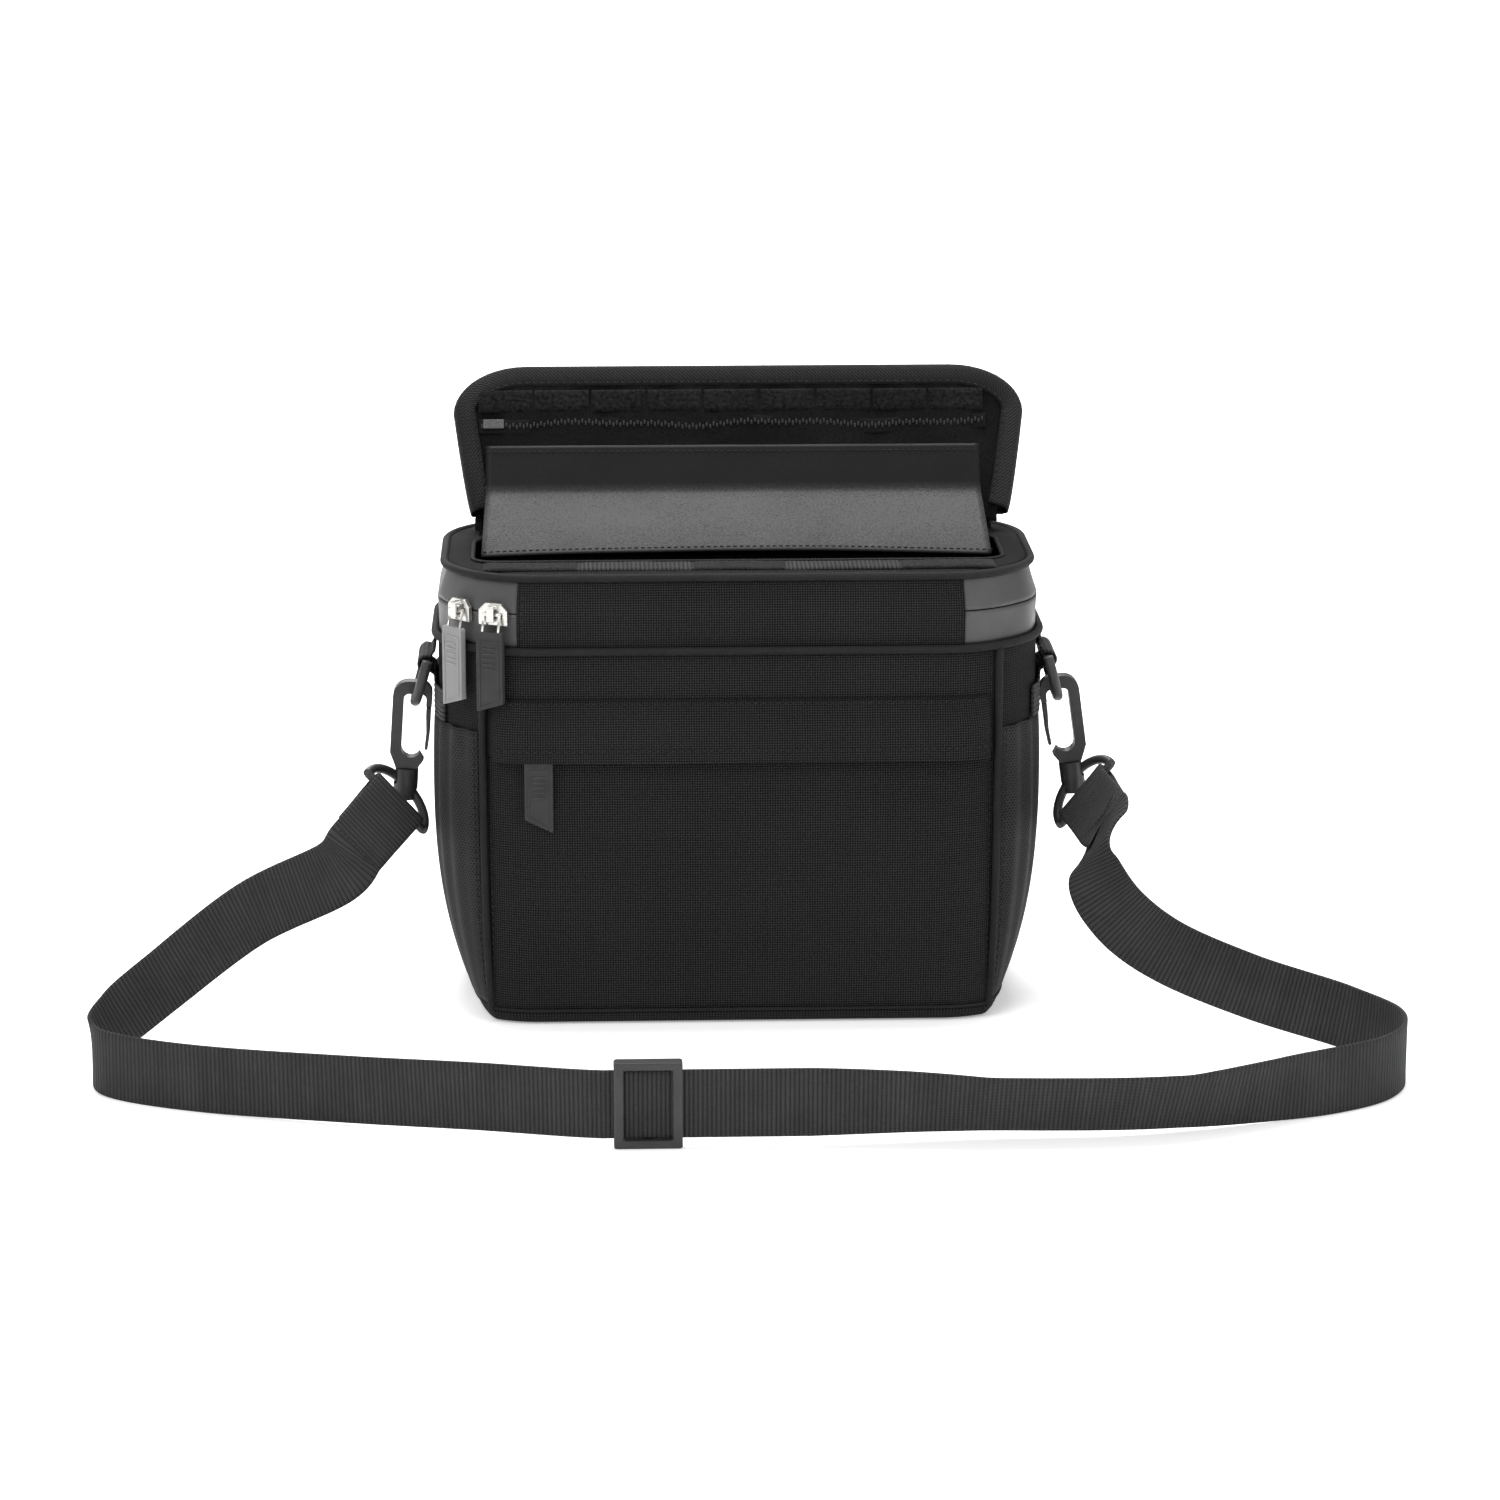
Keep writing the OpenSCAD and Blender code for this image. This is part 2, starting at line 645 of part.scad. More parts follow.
front_panel();
back_panel();
side_panel(left);  // side_panel_left
side_panel(right);  // side_panel_right
base_panel();
base_board();
foam_face(-1);  // foam_front
foam_face(1);  // foam_back
foam_sides();
foam_base();
lining();
front_pocket();
pocket_zip();
front_piping();
lower_rim_piping();
lower_zip_tape();
side_pocket(left);  // side_pocket_left
side_pocket(right);  // side_pocket_right
pocket_elastic(left);  // pocket_elastic_left
pocket_elastic(right);  // pocket_elastic_right
strap_tab(left);  // strap_tab_left
strap_tab(right);  // strap_tab_right
d_ring(left);  // d_ring_left
d_ring(right);  // d_ring_right
snap_hook(left);  // snap_hook_left
snap_hook(right);  // snap_hook_right
hook_gate(left);  // hook_gate_left
hook_gate(right);  // hook_gate_right
swivel_boss(left);  // swivel_boss_left
swivel_boss(right);  // swivel_boss_right
strap_ring(left);  // strap_ring_left
strap_ring(right);  // strap_ring_right
strap_webbing();
strap_adjuster();
divider(left);  // divider_left
divider(right);  // divider_right
storm_flap();
pocket_slider();
pocket_pull();
lid_band();
upper_zip_tape();
lid_top();
upper_rim_piping();
loop_patches();
rim_webbing();
zip_slider(slider_angle_side);  // zip_slider_side
zip_slider(slider_angle_front);  // zip_slider_front
wire_loop(slider_angle_side);  // wire_loop_side
wire_loop(slider_angle_front);  // wire_loop_front
main_pull(slider_angle_side);  // pull_side
main_pull(slider_angle_front);  // pull_front
flap_shell();
flap_foam();
flap_lining();
flap_binding();
flap_hook_strip();
flap_zip();
flap_zip_slider();
flap_pocket_panel();
flap_pocket_skirt();
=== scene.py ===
"""Looks of the padded shoulder camera bag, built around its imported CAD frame. Metres, row frame."""
import json
import math
import bpy
import numpy as np
from numpy import linspace
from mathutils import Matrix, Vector


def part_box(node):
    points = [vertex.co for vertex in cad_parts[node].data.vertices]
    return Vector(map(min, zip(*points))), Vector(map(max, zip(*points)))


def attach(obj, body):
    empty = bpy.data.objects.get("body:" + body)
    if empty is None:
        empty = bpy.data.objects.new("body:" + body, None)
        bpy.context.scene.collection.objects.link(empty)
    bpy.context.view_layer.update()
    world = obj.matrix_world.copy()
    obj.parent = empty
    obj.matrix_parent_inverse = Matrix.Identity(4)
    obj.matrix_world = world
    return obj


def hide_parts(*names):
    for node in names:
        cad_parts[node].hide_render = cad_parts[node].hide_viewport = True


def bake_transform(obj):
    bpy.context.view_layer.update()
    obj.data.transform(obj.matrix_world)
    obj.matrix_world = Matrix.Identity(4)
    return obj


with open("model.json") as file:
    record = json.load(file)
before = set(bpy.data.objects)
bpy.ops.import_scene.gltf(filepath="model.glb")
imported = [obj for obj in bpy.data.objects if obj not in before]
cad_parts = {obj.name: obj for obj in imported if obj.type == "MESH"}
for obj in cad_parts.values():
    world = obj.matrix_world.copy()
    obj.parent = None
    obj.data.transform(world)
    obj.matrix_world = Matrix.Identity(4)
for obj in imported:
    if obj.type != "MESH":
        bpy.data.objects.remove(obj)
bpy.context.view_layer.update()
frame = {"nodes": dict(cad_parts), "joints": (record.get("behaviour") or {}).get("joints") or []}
JOINT = {j["name"]: j for j in frame["joints"]}
MM = 0.001
LEFT, RIGHT = -1, 1
SIDES = ((LEFT, "left"), (RIGHT, "right"))
PI = math.pi
UP, ACROSS = np.array([0, 0, 1.0]), np.array([0, 1.0, 0])


def low(node):
    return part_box(node)[0]


def high(node):
    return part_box(node)[1]


def span(node, axis):
    """Lower and upper end of a node's box along x, y or z."""
    return getattr(low(node), axis), getattr(high(node), axis)


def middle(node, axis):
    return sum(span(node, axis)) / 2


# ---------- values taken from the frame ----------
HALF_W = high("side_panel_right").x
HALF_D = high("back_panel").y
CORNER = 42 * MM
HX, HY = HALF_W - CORNER, HALF_D - CORNER
QUARTER = CORNER * PI / 2
ROUND = 2 * (HX + 2 * QUARTER + 2 * HY + HX)          # whole outline
FRONT_X = high("front_panel").x
FRONT_S = HX + CORNER * math.asin((FRONT_X - HX) / CORNER)   # arc length to the front seam
RIM_LO = middle("lower_rim_piping", "z")
RIM_HI = middle("upper_rim_piping", "z")
ZIP_Z = (high("lower_zip_tape").z + low("upper_zip_tape").z) / 2
LID_Z = high("lid_top").z
BAND_X = high("lid_band").x
STORM_LO, STORM_HI = span("storm_flap", "z")
POCKET_TOP = high("front_pocket").z
HINGE = Vector(JOINT["flap_hinge"]["pos_m"])
STRAP_Y = middle("strap_adjuster", "y")

# ---------- sizes of the soft shape ----------
LEAN = math.radians(63)         # the open flap's slope
TAPER_H = 115 * MM              # below this height the sides draw in
SIDE_TAPER = 16 * MM            # by this much at the base
EDGE_X = 104 * MM               # the sides draw in beyond this half width
LID_LEAN = 4 * MM               # the lid draws in by this much between its zip and its rim
CROWN = 1.3 * MM                # front and back bulge by this much
PIPE_R = 1.7 * MM
PLEAT = 11 * MM                 # spacing of the side pockets' gathers
CLOTH_FRAMES = 20               # length of each panel's swelling


# ---------- mesh helpers ----------
def add(name, data):
    o = bpy.data.objects.new(name, data)
    bpy.context.scene.collection.objects.link(o)
    return o


def mesh_object(name, verts, faces, mat, uvs=None, smooth=True):
    me = bpy.data.meshes.new(name)
    me.from_pydata([tuple(v) for v in verts], [], faces)
    if uvs is not None:
        layer = me.uv_layers.new(name="UVMap")
        layer.data.foreach_set("uv", np.asarray(uvs, np.float32).ravel())
    me.materials.append(mat)
    me.polygons.foreach_set("use_smooth", [smooth] * len(me.polygons))
    me.update()
    return add(name, me)


def points(x, y, z):
    """Points from coordinates of any shapes that fit together."""
    return np.stack(np.broadcast_arrays(x, y, z), -1)


def unit(v):
    """One or many directions, brought to length 1."""
    return v / np.linalg.norm(v, axis=-1, keepdims=True)


def clamp(x):
    return np.clip(x, 0, 1)


def run_length(P):
    """Distance along a path, at each of its points."""
    return np.concatenate([[0], np.cumsum(np.linalg.norm(np.diff(P, axis=0), axis=1))])


def grid(name, P, mat, wrap=False, caps=False):
    """Quad sheet over an array of points [row, column], with UVs in metres along both ways."""
    P = np.asarray(P, float)
    rows, cols = P.shape[:2]
    Q = np.concatenate([P, P[:, :1]], 1) if wrap else P
    u = np.concatenate([[0], np.cumsum(np.linalg.norm(np.diff(Q, axis=1), axis=2).mean(0))])
    v = np.concatenate([[0], np.cumsum(np.linalg.norm(np.diff(Q, axis=0), axis=2).mean(1))])
    faces, uvs = [], []
    for i in range(rows - 1):
        for j in range(Q.shape[1] - 1):
            k = (j + 1) % cols
            faces.append((i * cols + j, i * cols + k, (i + 1) * cols + k, (i + 1) * cols + j))
            uvs += [(u[j], v[i]), (u[j + 1], v[i]), (u[j + 1], v[i + 1]), (u[j], v[i + 1])]
    if caps:
        for row, order in ((0, -1), (rows - 1, 1)):
            faces.append(tuple(row * cols + c for c in range(cols))[::order])
            uvs += [(x, y) for x, y, _ in P[row]][::order]
    return mesh_object(name, P.reshape(-1, 3), faces, mat, uvs)


def thicken(o, t, side=-1.0):
    m = o.modifiers.new("thickness", "SOLIDIFY")
    m.thickness, m.offset = t, side
    return o


def round_edges(o, width, segments=2, angle=None):
    b = o.modifiers.new("edge", "BEVEL")
    b.width, b.segments = width, segments
    if angle:
        b.limit_method, b.angle_limit = "ANGLE", angle
    return o


def frames(path, closed=False):
    """Two directions across a path at each of its points, without twist."""
    p = np.asarray(path, float)
    t = np.roll(p, -1, 0) - np.roll(p, 1, 0) if closed else np.gradient(p, axis=0)
    t = unit(t)
    a = [UP if abs(t[0, 2]) < 0.9 else ACROSS]
    for d in t:
        a.append(unit(a[-1] - (a[-1] @ d) * d))
    return a[1:], np.cross(t, a[1:])


def tube(name, path, r, mat, sides=10, closed=False):
    p = np.asarray(path, float)
    a, b = (np.array(q)[:, None] for q in frames(p, closed))
    f = linspace(0, 2 * PI, sides, endpoint=False)
    c, s = np.cos(f)[:, None], np.sin(f)[:, None]
    P = p[:, None] + r * (c * a + s * b)
    if closed:
        P = np.concatenate([P, P[:1]], 0)
    o = grid(name, P, mat, wrap=True, caps=not closed)
    if closed:
        o.modifiers.new("weld", "WELD").merge_threshold = 1e-5
    return o


def walk(path, distances):
    """Point and direction at each distance along a path."""
    p = np.asarray(path, float)
    d = run_length(p)
    for s in distances(d[-1]):
        c, e = (np.array([np.interp(q, d, p[:, k]) for k in range(3)]) for q in (s, s + 1e-4))
        yield c, (e - c) / (np.linalg.norm(e - c) + 1e-12)


def stitches(name, paths, body, slot=None, pitch=3.2 * MM, length=2.3 * MM, r=0.28 * MM):
    """A row of short thread bumps along each path, pointed at both ends."""
    verts, faces = [], []
    for path in paths:
        for c, t in walk(path, lambda end: np.arange(pitch / 2, end, pitch)):
            a = unit(np.cross(t, UP if abs(t[2]) < 0.8 else ACROSS))
            b = np.cross(t, a)
            k = len(verts)
            verts.append(c - t * length / 2)
            for w in (-0.28, 0.28):
                for q in np.arange(4) * PI / 2:
                    verts.append(c + t * length * w + r * (a * math.cos(q) + b * math.sin(q)))
            verts.append(c + t * length / 2)
            for q in range(4):
                n = (q + 1) % 4
                faces += [(k, k + 1 + n, k + 1 + q), (k + 1 + q, k + 1 + n, k + 5 + n, k + 5 + q),
                          (k + 9, k + 5 + q, k + 5 + n)]
    place(mesh_object(name, verts, faces, THREAD), body, slot=slot)


def bricks(name, items, mat, bevel):
    """Small blocks with eased edges: each item is a centre and three half-length vectors."""
    verts, faces = [], []
    for c, x, y, z in items:
        k = len(verts)
        for sz in (-1, 1):
            verts += [c + sx * x + sy * y + sz * z for sx, sy in ((-1, -1), (1, -1), (1, 1), (-1, 1))]
        for f in ((3, 2, 1, 0), (4, 5, 6, 7), (0, 1, 5, 4), (1, 2, 6, 5), (2, 3, 7, 6), (3, 0, 4, 7)):
            faces.append(tuple(k + i for i in f))
    return round_edges(mesh_object(name, verts, faces, mat), bevel)


def place(o, body, *nodes, slot="body_fabric"):
    """Put a finished piece on its body and hide the CAD nodes it stands for; slot is not used."""
    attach(o, body)
    if nodes:
        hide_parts(*nodes)
    return o


def cloth(name, P, mat, t, body, *nodes, slot="body_fabric", puff=None, wrap=False, side=-1.0):
    """Sheet of thickness t on its body; puff is the border and the settings of its swelling."""
    o = grid(name, P, mat, wrap)
    if puff:
        swell(o, border_free(P.shape[:2], puff[0]), *puff[1:])
    return place(thicken(o, t, side), body, *nodes, slot=slot)


def rumple(a, b, amp, seed, wave=0.09):
    """Gentle uneven swell of a soft surface."""
    rng = np.random.default_rng(seed)
    total = 0
    for k in range(5):
        fa, fb = rng.uniform(-1, 1, 2) * 2 * PI / wave * (0.6 + 0.35 * k)
        total = total + np.sin(fa * a + fb * b + rng.uniform(0, 2 * PI)) / (1 + 0.7 * k)
    return amp * total / 2


def swell(o, free, pressure, cap, slack=-0.01):
    """Cloth simulation of one panel: pressure fills it, and a point moves up to cap where free is 1."""
    free = free.ravel()
    scene = bpy.context.scene
    n = len(o.data.vertices)
    rest = np.zeros(n * 3, np.float32)
    o.data.vertices.foreach_get("co", rest)
    group = o.vertex_groups.new(name="pin")
    for i in np.nonzero(free < 0.999)[0]:
        group.add([int(i)], float(1 - free[i]), "REPLACE")
    m = o.modifiers.new("cloth", "CLOTH")
    c = m.settings
    c.quality, c.mass = 6, 0.25
    c.tension_stiffness = c.compression_stiffness = 12
    c.shear_stiffness, c.bending_stiffness = 6, 0.4
    c.use_pressure, c.uniform_pressure_force = True, pressure
    c.shrink_min = slack
    c.vertex_group_mass = "pin"
    c.effector_weights.gravity = 0
    for f in range(1, CLOTH_FRAMES + 1):
        scene.frame_set(f)
    dg = bpy.context.evaluated_depsgraph_get()
    co = np.zeros_like(rest)
    o.evaluated_get(dg).data.vertices.foreach_get("co", co)
    rest = rest.reshape(-1, 3)
    move = co.reshape(-1, 3) - rest
    move[~np.isfinite(move).all(1)] = 0
    size = np.linalg.norm(move, axis=1)
    limit = cap * clamp(free * 1.5)
    move *= np.minimum(1, limit / np.maximum(size, 1e-9))[:, None]
    o.modifiers.remove(m)
    o.vertex_groups.remove(group)
    o.data.vertices.foreach_set("co", (rest + move).astype(np.float32).ravel())
    o.data.update()
    scene.frame_set(1)


def border_free(shape, margin):
    """0 on a grid's border, rising to 1 inside."""
    i, j = (np.minimum(np.arange(n), np.arange(n)[::-1]) for n in shape)
    return clamp(np.minimum(i[:, None], j) / margin)


# ---------- materials ----------
class Shader:
    """A procedural material under construction."""

    def __init__(self, name, rough=0.8, sheen=0.0, metal=0.0, spec=0.5):
        self.m = bpy.data.materials.new(name)
        self.m.use_nodes = True
        self.t = self.m.node_tree
        self.b = self.t.nodes["Principled BSDF"]
        for key, value in (("Roughness", rough), ("Metallic", metal), ("Specular IOR Level", spec),
                           ("Sheen Weight", sheen), ("Sheen Roughness", 0.5)):
            self.b.inputs[key].default_value = value

    def node(self, kind):
        return self.t.nodes.new("ShaderNode" + kind)

    def put(self, socket, value):
        if isinstance(value, bpy.types.NodeSocket):
            self.t.links.new(value, socket)
        else:
            socket.default_value = value

    def math(self, op, a, b=0.0):
        n = self.node("Math")
        n.operation = op
        self.put(n.inputs[0], a)
        self.put(n.inputs[1], b)
        return n.outputs[0]

    def mul(self, a, b):
        return self.math("MULTIPLY", a, b)

    def add(self, a, b):
        return self.math("ADD", a, b)

    def sub(self, a, b):
        return self.math("SUBTRACT", a, b)

    def ridge(self, x, per=1.0):
        """Rounded ridges, this many to each unit of x."""
        return self.math("ABSOLUTE", self.math("SINE", self.mul(x, PI * per)))

    def uv(self, pu, pv):
        """U and V counted in threads of these pitches."""
        c = self.node("UVMap")
        s = self.node("SeparateXYZ")
        self.put(s.inputs[0], c.outputs[0])
        return self.math("DIVIDE", s.outputs[0], pu), self.math("DIVIDE", s.outputs[1], pv)

    def noise(self, scale, detail=3.0, stretch=(1, 1, 1)):
        c = self.node("TexCoord")
        mp = self.node("Mapping")
        mp.inputs["Scale"].default_value = stretch
        n = self.node("TexNoise")
        n.inputs["Scale"].default_value, n.inputs["Detail"].default_value = scale, detail
        self.put(mp.inputs[0], c.outputs["Object"])
        self.put(n.inputs["Vector"], mp.outputs[0])
        return n.outputs[0]

    def rand(self, w):
        n = self.node("TexWhiteNoise")
        n.noise_dimensions = "1D"
        self.put(n.inputs["W"], w)
        return n.outputs["Value"]

    def remap(self, x, a, b, c, d):
        n = self.node("MapRange")
        self.put(n.inputs[0], x)
        for i, v in enumerate((a, b, c, d)):
            n.inputs[i + 1].default_value = v
        return n.outputs[0]

    def even(self, noise, a, b):
        """The noise's usual range stretched over a to b."""
        return self.remap(noise, 0.3, 0.7, a, b)

    def pointy(self):
        g = self.node("NewGeometry")
        return self.remap(g.outputs["Pointiness"], 0.5, 0.625, 0, 1)

    def colour(self, fac, dark, light):
        """Blend two colours; a single number is a grey."""
        n = self.node("Mix")
        n.data_type = "RGBA"
        self.put(n.inputs[0], fac)
        for i, c in ((6, dark), (7, light)):
            n.inputs[i].default_value = (*(c if isinstance(c, tuple) else (c, c, c)), 1)
        self.put(self.b.inputs["Base Color"], n.outputs[2])

    def bump(self, height, depth):
        n = self.node("Bump")
        n.inputs["Strength"].default_value, n.inputs["Distance"].default_value = 1.0, depth
        self.put(n.inputs["Height"], height)
        self.put(self.b.inputs["Normal"], n.outputs[0])

    def rough(self, value):
        self.put(self.b.inputs["Roughness"], value)


def woven(name, dark, light, pitch=1.05 * MM, depth=0.22 * MM, sheen=0.0, rough=0.8, spec=0.15):
    """Plain weave, warp and weft passing over each other; uneven in tone and rubbed in places, with a painted
    highlight on each thread crown and painted shade between the threads.
    """
    s = Shader(name, rough, sheen, spec=spec)
    u, v = s.uv(pitch, pitch)
    cu, cv = s.math("FLOOR", u), s.math("FLOOR", v)

    def over(across, along, cell, sign):
        phase = s.sub(s.sub(along, 0.5), cell)
        wave = s.mul(s.math("COSINE", s.mul(phase, PI)), 0.5 * sign)
        return s.mul(s.ridge(across), s.add(wave, 0.5))

    height = s.math("MAXIMUM", over(u, v, cu, 1), over(v, u, cv, -1))
    tone = s.add(s.mul(s.rand(cu), 0.5), s.mul(s.rand(cv), 0.5))
    wear = s.noise(14, 4)
    # colour: random thread tone times the thread height, so each crown carries a painted highlight and the gaps
    # painted shade; the wear noise is added on top
    fac = s.mul(s.add(s.mul(tone, 0.08), 0.52),
                 s.mul(s.math("POWER", height, 2.0), 1.5))
    s.colour(s.add(fac, s.mul(s.sub(wear, 0.5), 0.25)), dark, light)
    s.rough(s.even(wear, rough - 0.08, rough + 0.08))
    s.bump(s.add(height, s.mul(s.noise(2600, 2), 0.3)), depth)
    return s.m


def ribbed(name, dark, light, pitch, depth, twill=False, sheen=0.0):
    """Webbing: ribs across the length (V), fine yarns along it; twill turns the ribs diagonal. The rib tops are
    painted lighter and the grooves painted shade.
    """
    s = Shader(name, 0.72, sheen, spec=0.2)
    u, v = s.uv(pitch, pitch)
    along = s.add(v, u) if twill else v
    yarn = s.ridge(u, 1.0 if twill else 2.3)
    height = s.mul(s.math("POWER", s.ridge(along), 0.7), s.add(s.mul(yarn, 0.4), 0.6))
    tone = s.add(s.mul(s.rand(s.math("FLOOR", along)), 0.12),
                  s.mul(s.noise(60, 4), 0.5))
    # colour: random rib tone times the rib height, painted light on the rib tops and painted shade in the
    # grooves
    s.colour(s.mul(s.add(tone, 0.35), s.add(height, 0.15)), dark, light)
    s.bump(s.add(height, s.mul(s.noise(2200, 2), 0.25)), depth)
    return s.m


def netting(name, dark, light, pitch):
    """Stretch mesh: rows of small dark holes, every other row shifted by half."""
    s = Shader(name, 0.8, 0.04, spec=0.15)
    u, v = s.uv(pitch, pitch * 0.8)
    half = s.mul(s.math("MODULO", s.math("FLOOR", v), 2.0), 0.5)
    x = s.sub(s.math("FRACT", s.add(u, half)), 0.5)
    y = s.sub(s.math("FRACT", v), 0.5)
    r = s.math("SQRT", s.add(s.mul(x, x), s.mul(y, y)))
    ring = s.remap(r, 0.2, 0.36, 0, 1)
    s.colour(s.mul(ring, s.even(s.noise(30, 3), 0.7, 1.0)), dark, light)
    s.bump(ring, 0.3 * MM)
    return s.m


def coated(name, dark, light, rough, spec, crease):
    """Smooth coated tape: fine grain, soft creases, uneven gloss."""
    s = Shader(name, rough, spec=spec)
    soft = s.noise(35, 4)
    s.colour(s.even(soft, 0.2, 0.9), dark, light)
    s.rough(s.even(s.noise(80, 4), rough - 0.08, rough + 0.1))
    s.bump(s.add(s.mul(s.noise(900, 2), 0.4), s.mul(soft, crease * 6)), 0.08 * MM)
    return s.m


def nylon(name, dark, light):
    """Thin shiny nylon with a fine sparkling weave, its light and shade painted into the colour: the
    turned-down lower part, V from 0, painted light, the part above it fading into painted shade, a darker band
    at the hem, and a fine speckle that is partly the weave's own tone and partly painted glints.
    """
    s = Shader(name, 0.5, 0.0, spec=0.12)
    _, v = s.uv(MM, MM)
    # painted light and shade: colour falls to near black between V 36 and 46 mm, is brightest on the
    # turned-down part and dimmer towards the hem
    painted_light_and_shade = s.mul(s.remap(v, 46, 36, 0.03, 0.9), s.remap(v, 0, 22, 0.55, 1.1))
    # darker band along the last 2 mm at the hem
    down = s.mul(painted_light_and_shade, s.remap(v, 1.6, 2.2, 0.15, 1.0))
    # fine speckle: partly the weave's own tone, partly painted glints
    grain = s.even(s.noise(1300, 1), 0.35, 1.5)
    streak = s.even(s.noise(45, 4), 0.8, 1.15)
    s.colour(s.mul(down, s.mul(grain, streak)), dark, light)
    s.bump(s.add(s.noise(1500, 2), s.mul(s.noise(60, 3), 3.0)), 0.07 * MM)
    return s.m


def fuzzy(name, dark, light, scale=1500, depth=0.5 * MM, sheen=0.5):
    """Velour, or the loops of loop tape."""
    s = Shader(name, 0.95, sheen, spec=0.05)
    fine, broad = s.noise(scale, 4), s.noise(45, 4)
    s.colour(s.mul(s.even(fine, 0, 1), s.even(broad, 0.5, 1)), dark, light)
    s.bump(fine, depth)
    return s.m


def moulded(name, dark, light, rough=0.42):
    """Satin moulded plastic or rubber: fine spark texture, rubbed edges."""
    s = Shader(name, rough, spec=0.3)
    fac = s.add(s.mul(s.pointy(), 0.6), s.mul(s.noise(120, 5), 0.4))
    s.colour(fac, dark, light)
    s.rough(s.even(s.noise(260, 4), rough - 0.07, rough + 0.1))
    s.bump(s.noise(2400, 3), 0.05 * MM)
    return s.m


def metal(name, dark, light, rough=0.26):
    """Satin plated metal with a faint brushed grain."""
    s = Shader(name, rough, metal=1.0)
    brush = s.noise(900, 3, (1, 1, 9))
    s.colour(s.even(brush, 0, 1), dark, light)
    s.rough(s.even(s.noise(160, 5), rough - 0.06, rough + 0.14))
    s.bump(brush, 0.02 * MM)
    return s.m


BODY = woven("body_weave", 0.002, (0.04242, 0.042, 0.041748), depth=0.35 * MM, spec=0.08)
BACKING = woven("backing_weave", 0.003, 0.014, 0.7 * MM, 0.12 * MM, 0.0, 0.85, 0.08)
PIPING = ribbed("piping_cloth", 0.002, 0.02, 0.9 * MM, 0.2 * MM, twill=True)
BINDING = ribbed("binding_twill", 0.002, 0.014, 1.6 * MM, 0.4 * MM, twill=True)
WEBBING = ribbed("webbing_ribs", 0.003, 0.05, 1.8 * MM, 0.6 * MM)
ELASTIC = ribbed("elastic_ribs", 0.006, 0.06, 2.1 * MM, 0.45 * MM, sheen=0.03)
NET = netting("stretch_net", 0.003, 0.03, 1.5 * MM)
TAPE = coated("coated_tape", 0.045, 0.085, 0.5, 0.3, 0.9)
NYLON = nylon("pocket_nylon", 0.006, 0.05)
VELOUR = fuzzy("velour", 0.002, 0.012, 1800, 0.35 * MM, 0.02)
LOOPS = fuzzy("loop_tape", 0.003, 0.03, 1100, 0.7 * MM, 0.06)
HOOKS = fuzzy("hook_tape", 0.002, 0.017, 700, 0.6 * MM, 0.03)
LINING = woven("lining_cloth", 0.03, 0.075, 0.6 * MM, 0.1 * MM, 0.3, 0.85)
PLASTIC = moulded("satin_plastic", 0.018, 0.06)
RUBBER_DARK = moulded("rubber_dark", 0.012, 0.045, 0.6)
RUBBER_LIGHT = moulded("rubber_light", 0.16, 0.3, 0.5)
NICKEL = metal("satin_nickel", (0.42, 0.41, 0.39), (0.72, 0.71, 0.68))
GUNMETAL = metal("dark_nickel", (0.04, 0.04, 0.04), (0.14, 0.14, 0.135), 0.4)
COIL = moulded("coil_polyester", 0.003, 0.012, 0.6)
THREAD = moulded("thread", 0.003, 0.014, 0.8)


# ---------- the bag's soft shape ----------
def half_width(z):
    return HALF_W - SIDE_TAPER * clamp(1 - z / TAPER_H) ** 3


def skin(s, z, g=0.0):
    """Points of the bag's surface: s is arc length from the front's middle to +X, g is how far out."""
    s, z, g = (np.asarray(q, float) for q in np.broadcast_arrays(s, z, g))
    a = np.abs(s)
    front, back = a - HX, a - HX - QUARTER - 2 * HY  # past the start of each corner
    theta = (clamp(front / QUARTER) + clamp(back / QUARTER)) * PI / 2
    lean = LID_LEAN * clamp((z - ZIP_Z) / (RIM_HI - ZIP_Z))
    r = CORNER + g - 2.2 * MM * clamp(1 - z / (8 * MM)) ** 2 - lean
    x = np.clip(a, 0, HX) - np.clip(back - QUARTER, 0, HX) + r * np.sin(theta)
    y = -HY + np.clip(front - QUARTER, 0, 2 * HY) - r * np.cos(theta)
    pull = (half_width(z) - EDGE_X) / (HALF_W - EDGE_X)
    x = np.where(x > EDGE_X, EDGE_X + (x - EDGE_X) * pull, x) * np.where(s < 0, -1, 1)
    crown = np.cos(np.clip(x / (HALF_W + 5 * MM), -1, 1) * PI / 2) * np.sin(PI * clamp(z / RIM_LO))
    y = y - CROWN * crown * np.cos(theta)
    return np.stack([x, y, z], -1)


def patch(s0, s1, z0, z1, g=0.0, ds=3.0 * MM, dz=3.0 * MM, rough_amp=0.0, seed=1):
    """Grid of points on the skin between two arc lengths and two heights."""
    s = linspace(s0, s1, max(2, int(abs(s1 - s0) / ds)))[None, :]
    z = linspace(z0, z1, max(2, int((z1 - z0) / dz)))[:, None]
    gg = g(s, z) if callable(g) else g
    if rough_amp:
        gg = gg + rumple(s, z, rough_amp, seed)
    return skin(s, z, gg)


def around(n):
    """Arc lengths of n stations the whole way round."""
    return linspace(-ROUND / 2, ROUND / 2, n, endpoint=False)


